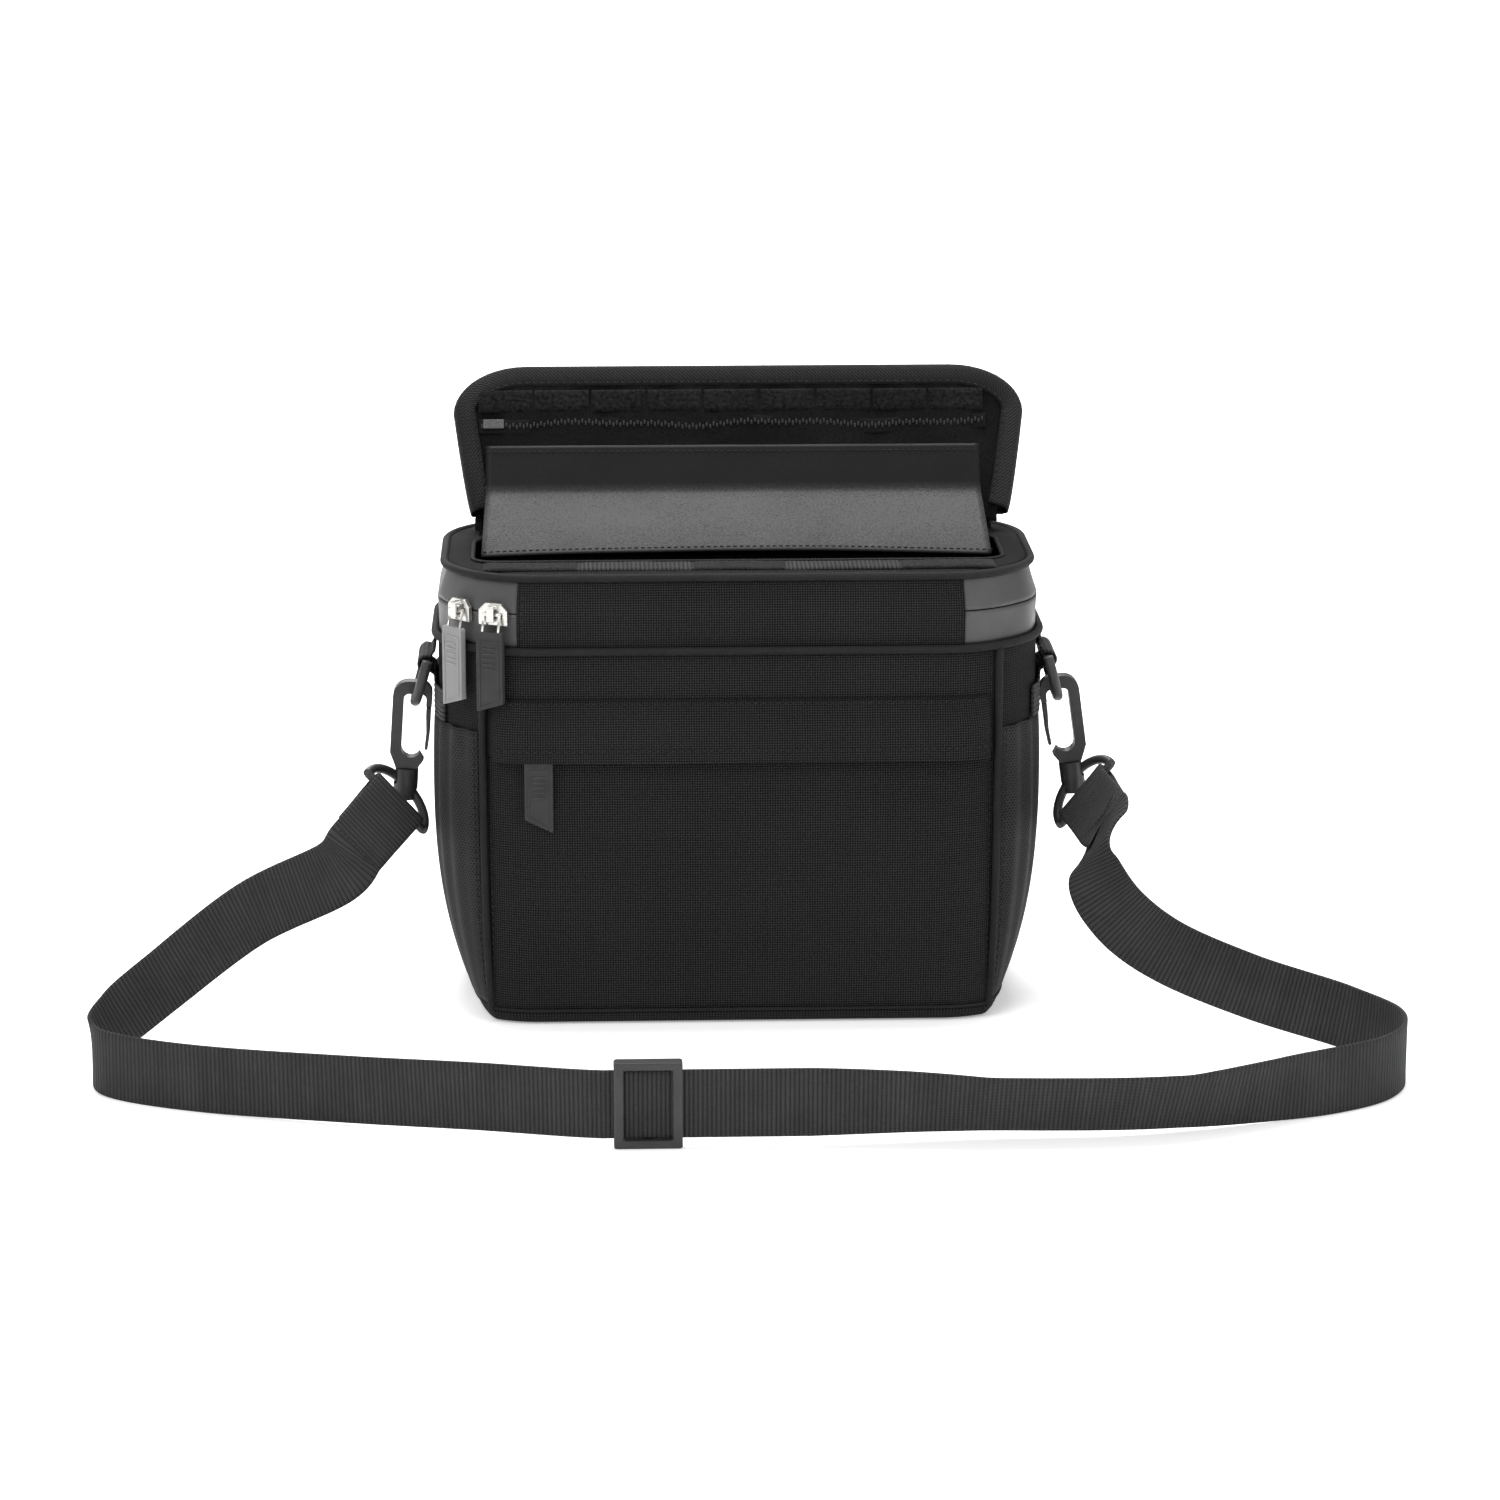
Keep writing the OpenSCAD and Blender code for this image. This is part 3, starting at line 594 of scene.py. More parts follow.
def build_panels():
    low_z, top = 4 * MM, RIM_LO
    half = FRONT_S + MM
    P = patch(-half, half, low_z, top, rough_amp=0.25 * MM, seed=2)
    cloth("front_panel_cloth", P, BODY, 1.6 * MM, "bag", "front_panel", "foam_front")
    back_s = ROUND / 2 - FRONT_S
    s = linspace(back_s, ROUND / 2, 34)
    s = np.concatenate([s, -s[::-1][1:]])
    z = linspace(low_z, top, 52)[:, None]
    P = skin(s, z, 0.4 * MM + rumple(linspace(-0.12, 0.12, s.size), z, 0.5 * MM, 5))
    cloth("back_panel_cloth", P, BODY, 1.6 * MM, "bag", "back_panel", "foam_back", puff=(5, 2.5, 4 * MM))
    for side, tag in SIDES:
        a, b = sorted((side * FRONT_S, side * back_s))
        P = patch(a, b, low_z, top, rough_amp=0.3 * MM, seed=7 + side)
        cloth("side_panel_cloth_" + tag, P, BODY, 1.6 * MM, "bag", "side_panel_" + tag)
        path = skin(side * back_s, linspace(6 * MM, top, 60), 0.3 * MM)
        place(tube("back_seam_" + tag, path, MM, PIPING, 8), "bag")
        path = skin(side * (FRONT_S + 0.6 * MM), linspace(5 * MM, top - MM, 80), 1.3 * MM)
        place(tube("front_piping_" + tag, path, PIPE_R, PIPING, 12), "bag", "front_piping")
        lips = [skin(side * (FRONT_S + d * MM), linspace(5 * MM, top, 60), 0.5 * MM) for d in (-2.6, 3.6)]
        stitches("piping_stitches_" + tag, lips, "bag")


def build_base():
    """Base tray: the bottom, turned up into a low wall with a seam line above it."""
    s = around(240)
    under = skin(s, 0.0, -14 * MM)
    under[:, 2] = 0.4 * MM
    rows = [under * (f, f, 1) for f in (0.02, 0.4, 0.75, 1)]
    for z, g in ((0.2, -6), (0.3, -1.6), (0.9, -0.4), (2.0, 0.5),
                 (3.5, 0.9), (4.8, 0.9), (5.6, 0.5), (6.0, -0.2)):
        rows.append(skin(s, z * MM, g * MM))
    P = np.array(rows)
    P[:, :, 2] = np.maximum(P[:, :, 2], 0.05 * MM)
    cloth("base_tray", P, BODY, 1.2 * MM, "bag", "base_panel", "base_board", "foam_base", wrap=True)
    seam = skin(around(220), 6.6 * MM, 0.5 * MM)
    place(tube("base_seam", seam, 0.75 * MM, PIPING, 8, True), "bag")


def build_front_pocket():
    side_s = FRONT_S - 2.2 * MM

    def g(s, z):
        rise = clamp((z - 6 * MM) / (12 * MM)) * clamp((side_s - np.abs(s)) / (9 * MM))
        return 0.5 * MM + 0.9 * MM * np.sin(rise * PI / 2)

    P = patch(-side_s, side_s, 7.4 * MM, POCKET_TOP + MM, g, 2.6 * MM, 2.6 * MM, 0.22 * MM, 11)
    cloth("front_pocket_cloth", P, BODY, 0.9 * MM, "bag", "front_pocket", puff=(6, 1.2, 1.3 * MM, -0.004))
    # zip behind the storm flap: two tapes and a coil between them
    P = patch(-side_s, side_s, *span("pocket_zip", "z"), 0.9 * MM, 3 * MM, MM)
    cloth("pocket_zip_tape", P, COIL, 0.5 * MM, "bag", "pocket_zip", slot="zip_tape")
    path = skin(linspace(-side_s, side_s, 150), middle("pocket_zip", "z"), 1.3 * MM)
    zip_teeth("pocket_zip_teeth", path, 5 * MM, "bag")


def zip_teeth(name, path, width, body, pitch=1.7 * MM, up=UP):
    """Coil of a closed zip: links leaning to either side in turn."""
    items = []
    for k, (c, t) in enumerate(walk(path, lambda end: np.arange(pitch, end - pitch, pitch))):
        side = up * (0.12 if k % 2 else -0.12) * width
        items.append((c + side, t * pitch * 0.3, up * width * 0.28, np.cross(t, up) * 0.35 * MM))
    place(bricks(name, items, COIL, 0.15 * MM), body, slot="zip_tape")


def build_storm_flap():
    """Flap over the pocket zip: stitched along its top, hemmed at its lower edge."""
    side_s = FRONT_S - 2.6 * MM

    def g(s, z):
        t = (STORM_HI - z) / (STORM_HI - STORM_LO)  # 0 at the seam, 1 at the hem
        reach = np.interp(t, [0, 0.06, 0.28, 0.5, 1], [1.2, 1.8, 3.4, 5.6, 6.2]) * MM
        ends = clamp((side_s - np.abs(s)) / (7 * MM))
        return 0.8 * MM + (reach - 0.8 * MM) * np.sin(ends * PI / 2) ** 0.7

    P = patch(-side_s, side_s, STORM_LO - 2 * MM, STORM_HI, g, 2.6 * MM, 1.1 * MM, 0.2 * MM, 21)
    P[0, :, 2] += rumple(P[0, :, 0], 0, 0.4 * MM, 4)
    cloth("storm_flap_cloth", P, BODY, MM, "storm", "storm_flap")
    s = linspace(-side_s + 2 * MM, side_s - 2 * MM, 160)
    rows = [skin(s, z, g(s, z) + lift * MM)
            for z, lift in ((STORM_HI - 1.4 * MM, 0.25), (STORM_LO + 3.4 * MM, 0.15))]
    stitches("storm_flap_stitches", rows, "storm", "body_fabric")


def build_rims():
    for node, z, g, body in (("lower_rim_piping", RIM_LO, 1.3 * MM, "bag"),
                             ("upper_rim_piping", RIM_HI, 1.1 * MM, "lid")):
        o = tube(node + "_cloth", skin(around(320), z, g), PIPE_R, PIPING, 12, True)
        place(o, body, node)


def build_zip_band():
    """Coated zip tapes round the back and sides, with the split between them, and the cloth band in front."""
    s0 = HX + CORNER * math.asin(min(1, (BAND_X - HX) / CORNER))
    q = linspace(s0, ROUND / 2 - 1e-4, 150)
    q = np.concatenate([q, -q[::-1]])
    gap = 0.35 * MM
    for name, node, body, z0, z1 in (("lower_tape", "lower_zip_tape", "bag", RIM_LO + MM, ZIP_Z - gap),
                                     ("upper_tape", "upper_zip_tape", "lid", ZIP_Z + gap, RIM_HI - MM)):
        z = linspace(z0, z1, 9)[:, None]
        toward = 1 - np.abs(z - ZIP_Z) / (z1 - z0)
        crease = rumple(q, z * 0.15, 0.45 * MM, 31, 0.02) * np.exp(-((np.abs(q) - s0 - 0.03) / 0.03) ** 2)
        P = skin(q, z, -0.5 * MM + 0.5 * MM * toward ** 2 + crease)
        cloth(name + "_cloth", P, TAPE, 0.9 * MM, body, node, slot="zip_tape")
    cord = tube("main_zip_cord", skin(q, ZIP_Z, -2.2 * MM), 1.1 * MM, COIL, 8)
    place(cord, "bag", slot="zip_tape")
    zip_teeth("main_zip_teeth", skin(q, ZIP_Z, -1.1 * MM), 4 * MM, "bag")
    # cloth band
    z = linspace(RIM_LO - 0.6 * MM, RIM_HI, 16)[:, None]
    s = linspace(-s0 - 0.5 * MM, s0 + 0.5 * MM, 76)
    bulge = 0.7 * MM * np.sin(PI * (z - RIM_LO) / (RIM_HI - RIM_LO))
    P = skin(s, z, 0.15 * MM + bulge + rumple(s, z, 0.25 * MM, 41))
    o = apply_modifiers(thicken(grid("lid_band_cloth", P, BODY), 1.4 * MM))
    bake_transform(o)
    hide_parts("lid_band")
    z = linspace(RIM_LO + 5 * MM, RIM_HI - 2 * MM, 20)
    ends = [skin(k * (s0 - 1.6 * MM), z, 0.9 * MM) for k in (-1, 1)]
    stitches("band_stitches", ends, "lid")


def apply_modifiers(o):
    """Make the modifiers' result the object's own mesh."""
    dg = bpy.context.evaluated_depsgraph_get()
    me = bpy.data.meshes.new_from_object(o.evaluated_get(dg))
    o.modifiers.clear()
    o.data = me
    return o


def opening_outline(n):
    """Rounded edge of the quick-access opening, matched to the outer outline point for point."""
    half, r = 112 * MM, 10 * MM
    y0, y1 = low("lid_top").y + 27.3 * MM, HINGE.y - 6 * MM
    P = skin(around(n), LID_Z, -3 * MM)
    x, y = np.clip(P[:, 0], -half, half), np.clip(P[:, 1], y0, y1)
    c = np.stack([np.clip(x, -half + r, half - r), np.clip(y, y0 + r, y1 - r)], -1)
    d = np.stack([x, y], -1) - c
    length = np.linalg.norm(d, axis=1)[:, None]
    c += np.where(length > r, d / np.maximum(length, 1e-9) * r, d)
    return points(c[:, 0], c[:, 1], LID_Z)


def build_lid_top():
    n = 300
    outer, inner = skin(around(n), LID_Z, -0.6 * MM), opening_outline(n)
    outer[:, 2] = RIM_HI + 0.6 * MM
    rows = [outer]
    for t in linspace(0.12, 1, 7):
        row = outer * (1 - t) + inner * t
        row[:, 2] = LID_Z - 0.2 * MM + 0.5 * MM * math.sin(PI * t) + rumple(row[:, 0], row[:, 1], 0.2 * MM, 51)
        rows.append(row)
    rows += [inner - (0, 0, drop * MM) for drop in (1.2, 2.4)]
    cloth("lid_top_cloth", np.array(rows), BODY, 1.2 * MM, "lid", "lid_top", wrap=True)
    # binding round the opening, without the outline's repeated points
    edge = inner[np.linalg.norm(inner - np.roll(inner, 1, 0), axis=1) > 0.2 * MM]
    edge[:, 2] = LID_Z + 0.1 * MM
    place(tube("opening_edge", edge, MM, BINDING, 8, True), "lid")
    # loop patches and webbing along the front rim
    pitch, half = 87 * MM, high("loop_patches").x - 90 * MM
    for i in (-1, 0, 1):
        P = rim_strip(i * pitch, half, 1.1 * MM)
        cloth("loop_patch_%d" % (i + 2), P, LOOPS, MM, "lid", "loop_patches", slot="loop_tape")
    for i in (-0.5, 0.5):
        P = np.transpose(rim_strip(i * pitch, 25 * MM, MM), (1, 0, 2))[:, ::-1]
        cloth("rim_webbing_%d" % (i + 1.5), P, WEBBING, 0.8 * MM, "lid", "rim_webbing", slot="webbing")


def inward(x, x0, x1, y, y0, y1):
    """How far points lie inside a rectangle."""
    return np.minimum(np.minimum(x - x0, x1 - x), np.minimum(y - y0, y1 - y))


def rim_strip(cx, half, h):
    """A flat piece h thick lying on the rim, its edges rounded down."""
    y0, y1 = span("loop_patches", "y")
    x, y = linspace(cx - half, cx + half, 24), linspace(y0, y1, 10)[:, None]
    edge = inward(x, cx - half, cx + half, y, y0, y1) / (1.8 * MM)
    top = low("loop_patches").z + h * np.sqrt(np.clip(edge, 0.15, 1)) + rumple(x, y, 0.2 * MM, 61, 0.02)
    return points(x, y, top)


# ---------- the top flap ----------
FLAP_LEN = 73 * MM
FLAP_W = high("flap_binding").x
FLAP_ROOT_W = 116 * MM
FLAP_R = 21 * MM
FLAP_SPREAD = 1.5  # the free corners are this much longer across than along
FLAP_T0 = 7 * MM
FLAP_SHIFT = 2.8 * MM  # the soft flap has slumped this far to +X
BACK_N = -8.6 * MM


def on_flap(x, t, n):
    """x across, t from the hinge to the tip, n out of the flap's inner face."""
    c, s = math.cos(LEAN), math.sin(LEAN)
    return points(x, HINGE.y + t * c - n * s, HINGE.z + t * s + n * c)


def flap_rows(inset, count=26, t0=FLAP_T0):
    """Distances from the hinge, and the half width at each."""
    r = FLAP_R - inset
    knee = FLAP_LEN - FLAP_R
    t = np.concatenate([linspace(t0, knee, count), knee + r * np.sin(linspace(0, PI / 2, 12)[1:])])
    straight = FLAP_ROOT_W + (FLAP_W - FLAP_ROOT_W) * clamp((t - FLAP_T0) / (knee - FLAP_T0)) ** 0.8
    bend = clamp((t - knee) / r)
    return t, straight - inset - FLAP_SPREAD * r * (1 - np.sqrt(1 - bend ** 2))


def flap_sheet(inset, n, t0=FLAP_T0):
    """Grid over the flap, closer towards its edges; n is a function of the place across and along."""
    t, w = flap_rows(inset, t0=t0)
    p = linspace(-1, 1, 70)
    p = np.sign(p) * (1 - (1 - np.abs(p)) ** 1.25)
    x, t = p * w[:, None] + FLAP_SHIFT, t[:, None]
    return on_flap(x, t, n(x / FLAP_W, (t - FLAP_T0) / (FLAP_LEN - FLAP_T0)))


def flap_edge():
    """The flap's outline from its left root over the tip to its right root, with outward directions."""
    t, w = flap_rows(0.0, 30)
    left = np.stack([-w, t], -1)
    tip = np.stack([linspace(-w[-1], w[-1], 60)[1:-1], np.full(58, FLAP_LEN)], -1)
    right = np.stack([w, t], -1)[::-1]
    p = np.concatenate([left, tip, right]) + (FLAP_SHIFT, 0)
    d = unit(np.gradient(p, axis=0))
    return p, np.stack([-d[:, 1], d[:, 0]], -1)


def build_flap():
    def padding(a, b):
        full = (1 - a ** 4) * np.sin(PI * clamp(b)) ** 0.5
        return -0.7 * MM + 1.2 * MM * full + rumple(a * 0.12, b * 0.07, 0.3 * MM, 71)

    def back(a, b):
        full = np.sqrt(clamp(1 - a ** 6)) * np.sin(PI * clamp(b)) ** 0.4
        return BACK_N - 1.8 * MM * full + rumple(a * 0.12, b * 0.07, 0.4 * MM, 72)

    P = flap_sheet(5 * MM, padding, 2 * MM)
    cloth("flap_velour", P, VELOUR, MM, "flap", "flap_lining", slot="velour",
          puff=(4, 1.5, MM, -0.006))
    P = flap_sheet(1.5 * MM, back)[:, ::-1]
    cloth("flap_shell_cloth", P, BODY, 1.2 * MM, "flap", "flap_shell", "flap_foam", puff=(4, 2.5, 3 * MM))
    # binding: a folded band round the edge, each line of it so far in from the edge and out of the face
    p, out = flap_edge()
    profile = ((9.4, 0.5), (8.6, 1.1), (6, 1.5), (3, 1.5), (1.2, 0.9), (0.2, -0.6), (-0.3, -3), (-0.3, -5.6),
               (0.4, -8), (1.6, -9.2), (3.4, -9.8), (5.4, -9.9), (6.2, -9.3), (8.3, 1.45))
    lines = [on_flap(*(p - out * i * MM).T, n * MM) for i, n in profile]
    cloth("flap_binding_band", np.stack(lines[:-1]), BINDING, 0.9 * MM, "flap", "flap_binding", slot="webbing")
    stitches("binding_stitches", lines[-1:], "flap", "webbing")
    # cloth hinge behind, and lining hinge in front: y and z of each, in millimetres
    for name, mat, w, line in (
            ("flap_hinge_cloth", BODY, FLAP_ROOT_W - 4 * MM,
             [(44, 189.8), (40, 190.6), (36.5, 192), (34, 194), (33.2, 196.5), (34.2, 200)]),
            ("flap_hinge_lining", VELOUR, 110 * MM,
             [(17, 190.3), (18.6, 191), (20.4, 192), (22.2, 193.2), (23.4, 194.8), (24.3, 196.8)])):
        k = linspace(0, len(line) - 1, 26)
        y, z = (np.interp(k, range(len(line)), c)[:, None] for c in np.array(line).T * MM)
        P = points(linspace(-w, w, 60), y, z)
        o = apply_modifiers(thicken(grid(name, P[::-1], mat), 0.9 * MM, 0.0))
        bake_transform(o)


def build_flap_fittings():
    # hook tape in nine lengths
    t0, t1, count, half = 51.5 * MM, 61.5 * MM, 9, high("flap_hook_strip").x
    step, gap = 2 * half / count, 1.2 * MM
    for i in range(count):
        x0, x1 = -half + i * step, -half + i * step + step - gap
        x, t = linspace(x0, x1, 16), linspace(t0, t1, 9)[:, None]
        edge = inward(x, x0, x1, t, t0, t1) / (1.2 * MM)
        P = on_flap(x, t, 0.9 * MM + 0.9 * MM * np.sqrt(np.clip(edge, 0.1, 1)))
        cloth("hook_tape_%d" % (i + 1), P, HOOKS, 1.1 * MM, "flap", "flap_hook_strip", slot="loop_tape")
    # zip: wavy tape and coil
    x = linspace(-110 * MM, 110 * MM, 140)
    wave = 0.8 * MM * np.sin(x * 75) + 0.5 * MM * np.sin(x * 170 + 1)
    lift = 0.3 * MM * np.sin(x * 120)
    P = on_flap(x, linspace(42.5 * MM, 49 * MM, 7)[:, None] + wave, MM + lift)
    cloth("flap_zip_tape", P, BACKING, 0.5 * MM, "flap", "flap_zip", slot="zip_tape")
    up = on_flap(0, 1, 0) - on_flap(0, 0, 0)
    zip_teeth("flap_zip_teeth", on_flap(x, 46 * MM + wave, 1.5 * MM + lift), 3.6 * MM, "flap", 1.5 * MM, up)


def build_flap_pocket():
    """Nylon pocket front: lies on the flap, then hangs free and kicks out as a skirt."""
    half = high("flap_pocket_skirt").x
    kick = math.radians(36.4)
    fold_t, top_t, drop, rows = 15.2 * MM, 36 * MM, 42.5 * MM, 46
    soft = 5 * MM  # half the length of the fold
    x = linspace(-half, half, 84)
    length = linspace(-drop, top_t - fold_t, rows)  # along the cloth, 0 at the fold
    bend = kick * (0.5 - 0.5 * np.cos(PI * (1 - clamp((length + soft) / (2 * soft)))))
    t, n = np.zeros(rows), np.zeros(rows)
    zero = int(np.argmin(np.abs(length)))
    for i in [*range(zero + 1, rows), *range(zero - 1, -1, -1)]:
        before = i - 1 if i > zero else i + 1
        step = length[i] - length[before]
        t[i] = t[before] + math.cos(bend[i]) * step
        n[i] = n[before] - math.sin(bend[i]) * step
    length, t, n = (q[:, None] for q in (length, t, n))
    edge = clamp(-length / drop)
    sag = 2.2 * MM * edge * (x / half) ** 2 - 1.2 * MM * edge
    crease = rumple(x, length, 0.4 * MM, 81, 0.08) + 0.5 * MM * edge * np.sin(x * 50)
    P = on_flap(x * (1 + 0.015 * edge), fold_t + t - sag, 2.3 * MM + n + crease)
    o = apply_modifiers(thicken(grid("flap_pocket_nylon", P, NYLON), 0.9 * MM))
    a, b = (on_flap(0, fold_t + d * 3 * MM, 2 * MM) for d in (1, -1))
    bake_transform(o)
    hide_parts("flap_pocket_panel", "flap_pocket_skirt")
    for name, row, body in (("skirt_hem_stitches", 2, "skirt"), ("pocket_top_stitches", -3, "flap")):
        line = P[row] + 0.3 * MM * np.array([0, -1, 0.2])
        stitches(name, [line], body, "pocket_nylon", 2.8 * MM, 2.0 * MM, 0.22 * MM)


# ---------- side pockets and strap tabs ----------
def build_sides():
    mid = HX + QUARTER + HY
    half, margin = 38 * MM, 6 * MM
    ahead = FRONT_S + 3 * MM  # the net is sewn into the front seam
    z0, z1 = span("side_pocket_left", "z")
    z2, z3 = span("pocket_elastic_left", "z")
    for side, tag in SIDES:
        s = side * linspace(ahead, mid + half, 110)
        z = linspace(z0, z1, 46)[:, None]
        rise = (z - z0) / (z1 - z0)
        inside = clamp(np.minimum(np.abs(s) - ahead, mid + half - np.abs(s)) / margin)
        pleat = 0.7 * MM * np.sin((s - side * mid) * 2 * PI / PLEAT) * (0.35 + 0.65 * rise)
        P = skin(s, z, 0.9 * MM + inside * (1.4 * MM * np.sin(PI * clamp(rise)) ** 0.5 + pleat * inside))
        cloth("side_pocket_net_" + tag, P, NET, 0.5 * MM, "bag", "side_pocket_" + tag, slot="mesh")
        across = linspace(-half, half, 76)
        z = linspace(z2, z3, 30)[:, None]
        inside = clamp((half - np.abs(across)) / margin)
        rib = 0.35 * MM * np.abs(np.sin(PI * (z - z2) / (2.3 * MM)))
        pleat = 0.25 * MM * np.sin(across * 2 * PI / PLEAT)
        P = skin(side * mid + across, z, 1.8 * MM + rib + pleat * inside)
        name = "pocket_elastic_band_" + tag
        cloth(name, P, ELASTIC, 1.2 * MM, "bag", "pocket_elastic_" + tag, slot="webbing")
        ends = [skin(side * a, linspace(z0 + MM, top - MM, 30), 2.2 * MM)
                for a, top in ((ahead + 1.5 * MM, z1), (mid + half - 1.5 * MM, z3))]
        stitches("side_pocket_stitches_" + tag, ends, "bag", "mesh")
        build_tab(side, tag)


def build_tab(side, tag):
    """Webbing folded round the D-ring's bar and sewn under the rim."""
    bar = Vector(JOINT["d_ring_tilt_" + tag]["pos_m"])
    ax, r = abs(bar.x), 3.35 * MM
    path = [(HALF_W + 1.5 * MM, RIM_LO - 3.6 * MM), (HALF_W + 1.7 * MM, bar.z + 6 * MM)]
    path += [(ax + r * math.cos(a), bar.z + r * math.sin(a)) for a in np.radians(linspace(118, -118, 20))]
    path += [(HALF_W + 1.7 * MM, bar.z - 4.4 * MM), (HALF_W + 1.2 * MM, bar.z - 9 * MM)]
    x, z = np.array(path).T[:, :, None]
    P = points(side * x, bar.y + linspace(-13 * MM, 13 * MM, 14), z)[:, ::-side]
    cloth("strap_tab_webbing_" + tag, P, WEBBING, 1.1 * MM, "bag", "strap_tab_" + tag, slot="webbing", side=0.0)


# ---------- inside ----------
def build_inside():
    s, inner, top = around(200), -10.4 * MM, high("lining").z
    floor_z = low("lining").z + 1.5 * MM
    rows = [skin(s, floor_z, inner) * (f, f, 1) for f in (0.02, 0.3, 0.6, 0.85)]
    rows += [skin(s, z, inner + rumple(s, z, 0.3 * MM, 91)) for z in linspace(floor_z, top, 22)]
    for g, dz in ((-9.6, 1.4), (-8, 2.2), (-5.5, 2.6), (-3, 2.4), (-1.7, 1.6)):
        rows.append(skin(s, top + dz * MM, g * MM))
    P = np.array(rows)[:, ::-1]
    cloth("lining_cloth", P, LINING, MM, "bag", "lining", "foam_sides", slot="lining", wrap=True)
    for _, tag in SIDES:
        o = cushion("divider_pad_" + tag, *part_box("divider_" + tag), LINING)
        place(o, "pad_" + tag, "divider_" + tag, slot="lining")


def cushion(name, a, b, mat):
    """Upright padded board, thin along x, crowned and drawn in towards its edges."""
    (cx, cy, cz), (hx, hy, hz) = ([(p + q * k) / 2 for p, q in zip(b, a)] for k in (1, -1))
    phi = linspace(0, 2 * PI, 96, endpoint=False)
    c, q = np.cos(phi), np.sin(phi)
    rows = []
    for v in linspace(-1, 1, 40):
        lens = max((1 - abs(v) ** 5) ** 0.5, 0.12) * (0.82 + 0.18 * math.cos(v * PI / 2))
        x = np.sign(q) * np.abs(q) ** 0.55 * hx * lens
        y = np.sign(c) * np.abs(c) ** 0.35 * hy * (1 - 0.02 * abs(v) ** 4)
        rows.append(points(cx + x, cy + y, cz + hz * v))
    return grid(name, np.array(rows), mat, wrap=True, caps=True)


# ---------- strap ----------
def turn(v, a, i, j):
    """v turned by the angle a from axis i towards axis j."""
    v, c, s = np.array(v, float), math.cos(a), math.sin(a)
    v[i], v[j] = v[i] * c - v[j] * s, v[i] * s + v[j] * c
    return v


RING_R = 17 * MM
RING_PITCH, RING_ROLL = math.radians(18), math.radians(43.8)
WEB_W, WEB_T = 28 * MM, 1.6 * MM
STRAP_Z = 17.8 * MM
STRAP_LEAN = math.radians(25)  # the front run leans back by this much at most


def ring_bar(side):
    """Middle and direction of the bar that the webbing folds round."""
    j = JOINT["hook_swivel_" + dict(SIDES)[side]]
    lean = math.asin(abs(j["axis"][0]))

    def turned(v):
        a = turn(turn(v, RING_PITCH, 1, 2), RING_ROLL, 2, 0)
        return turn(a * (-1, 1, 1), -lean, 2, 0) * (side, 1, 1)

    bow = np.array(j["pos_m"]) - 4.4 * MM * np.array(j["axis"])
    along = turned((1, 0, 0))
    return bow + turned((0, -RING_R, 0)), along if along[2] > 0 else -along


SIDE_RUN = {  # stations x, y, z in millimetres, and twist
    LEFT: [(-205, -84, 57, 0.45), (-240, -110, 36, 0.15), (-259, -124, 23, 0), (-266, -137, 15.5, 0),
           (-256, -153, 14.2, 0), (-218, -171, 14.2, 0), (-160, -188, 15, 0), (-110, -204, 17, 0)],
    RIGHT: [(147, -76, 72, 0.6), (156, -85, 55, 0.35), (177, -90, 39, 0.12), (212, -99, 25.5, 0),
            (250, -114, 16.5, 0), (268, -142, 14.2, 0), (254, -175, 14.2, 0), (205, -200, 14.5, 0),
            (150, -216, 16.2, 0)]}


def catmull(p, n):
    """Smooth curve through the inner points of p, n stations to a span."""
    out = []
    for a, b, c, d in zip(p, p[1:], p[2:], p[3:]):
        for t in np.arange(n) / n:
            square, cube = 2 * a - 5 * b + 4 * c - d, 3 * b - a - 3 * c + d
            out.append(0.5 * (2 * b + (c - a) * t + square * t * t + cube * t ** 3))
    return out


def half_strap(side):
    """Stations x, y, z, twist from the folded tail to the front run."""
    m, bar = ring_bar(side)
    run = np.array(SIDE_RUN[side], float) * (MM, MM, MM, 1)
    a = unit(m - run[0, :3])
    a = unit(a - (a @ bar) * bar)
    n = np.cross(bar, a) * side
    r = 2 * MM + WEB_T / 2 + 0.3 * MM

    def at(back, up, w=1.0):
        return np.append(m - a * back * MM + n * up * MM, w)

    fold = [at(*q) for q in ((24, -1.2), (20, -1.3), (16, -1.6), (12, -2.1), (8, -2.6), (5, -2.9))]
    for f in np.radians(linspace(-90, 90, 13)):
        fold.append(np.append(m + r * (a * math.cos(f) + n * math.sin(f)), 1.0))
    fold += [at(*q) for q in ((5, 2.9), (8, 2.6), (12, 2.1), (16, 1.6), (22, 1.2))]
    ctrl = [at(22, 1.2), at(30, 1), at(46 if side == LEFT else 36, 0.8, 0.9), *run]
    ctrl += [np.array([side * x * MM, STRAP_Y, STRAP_Z, 0]) for x in (60, 20)]
    return np.array(fold + catmull(ctrl, 14)), bar


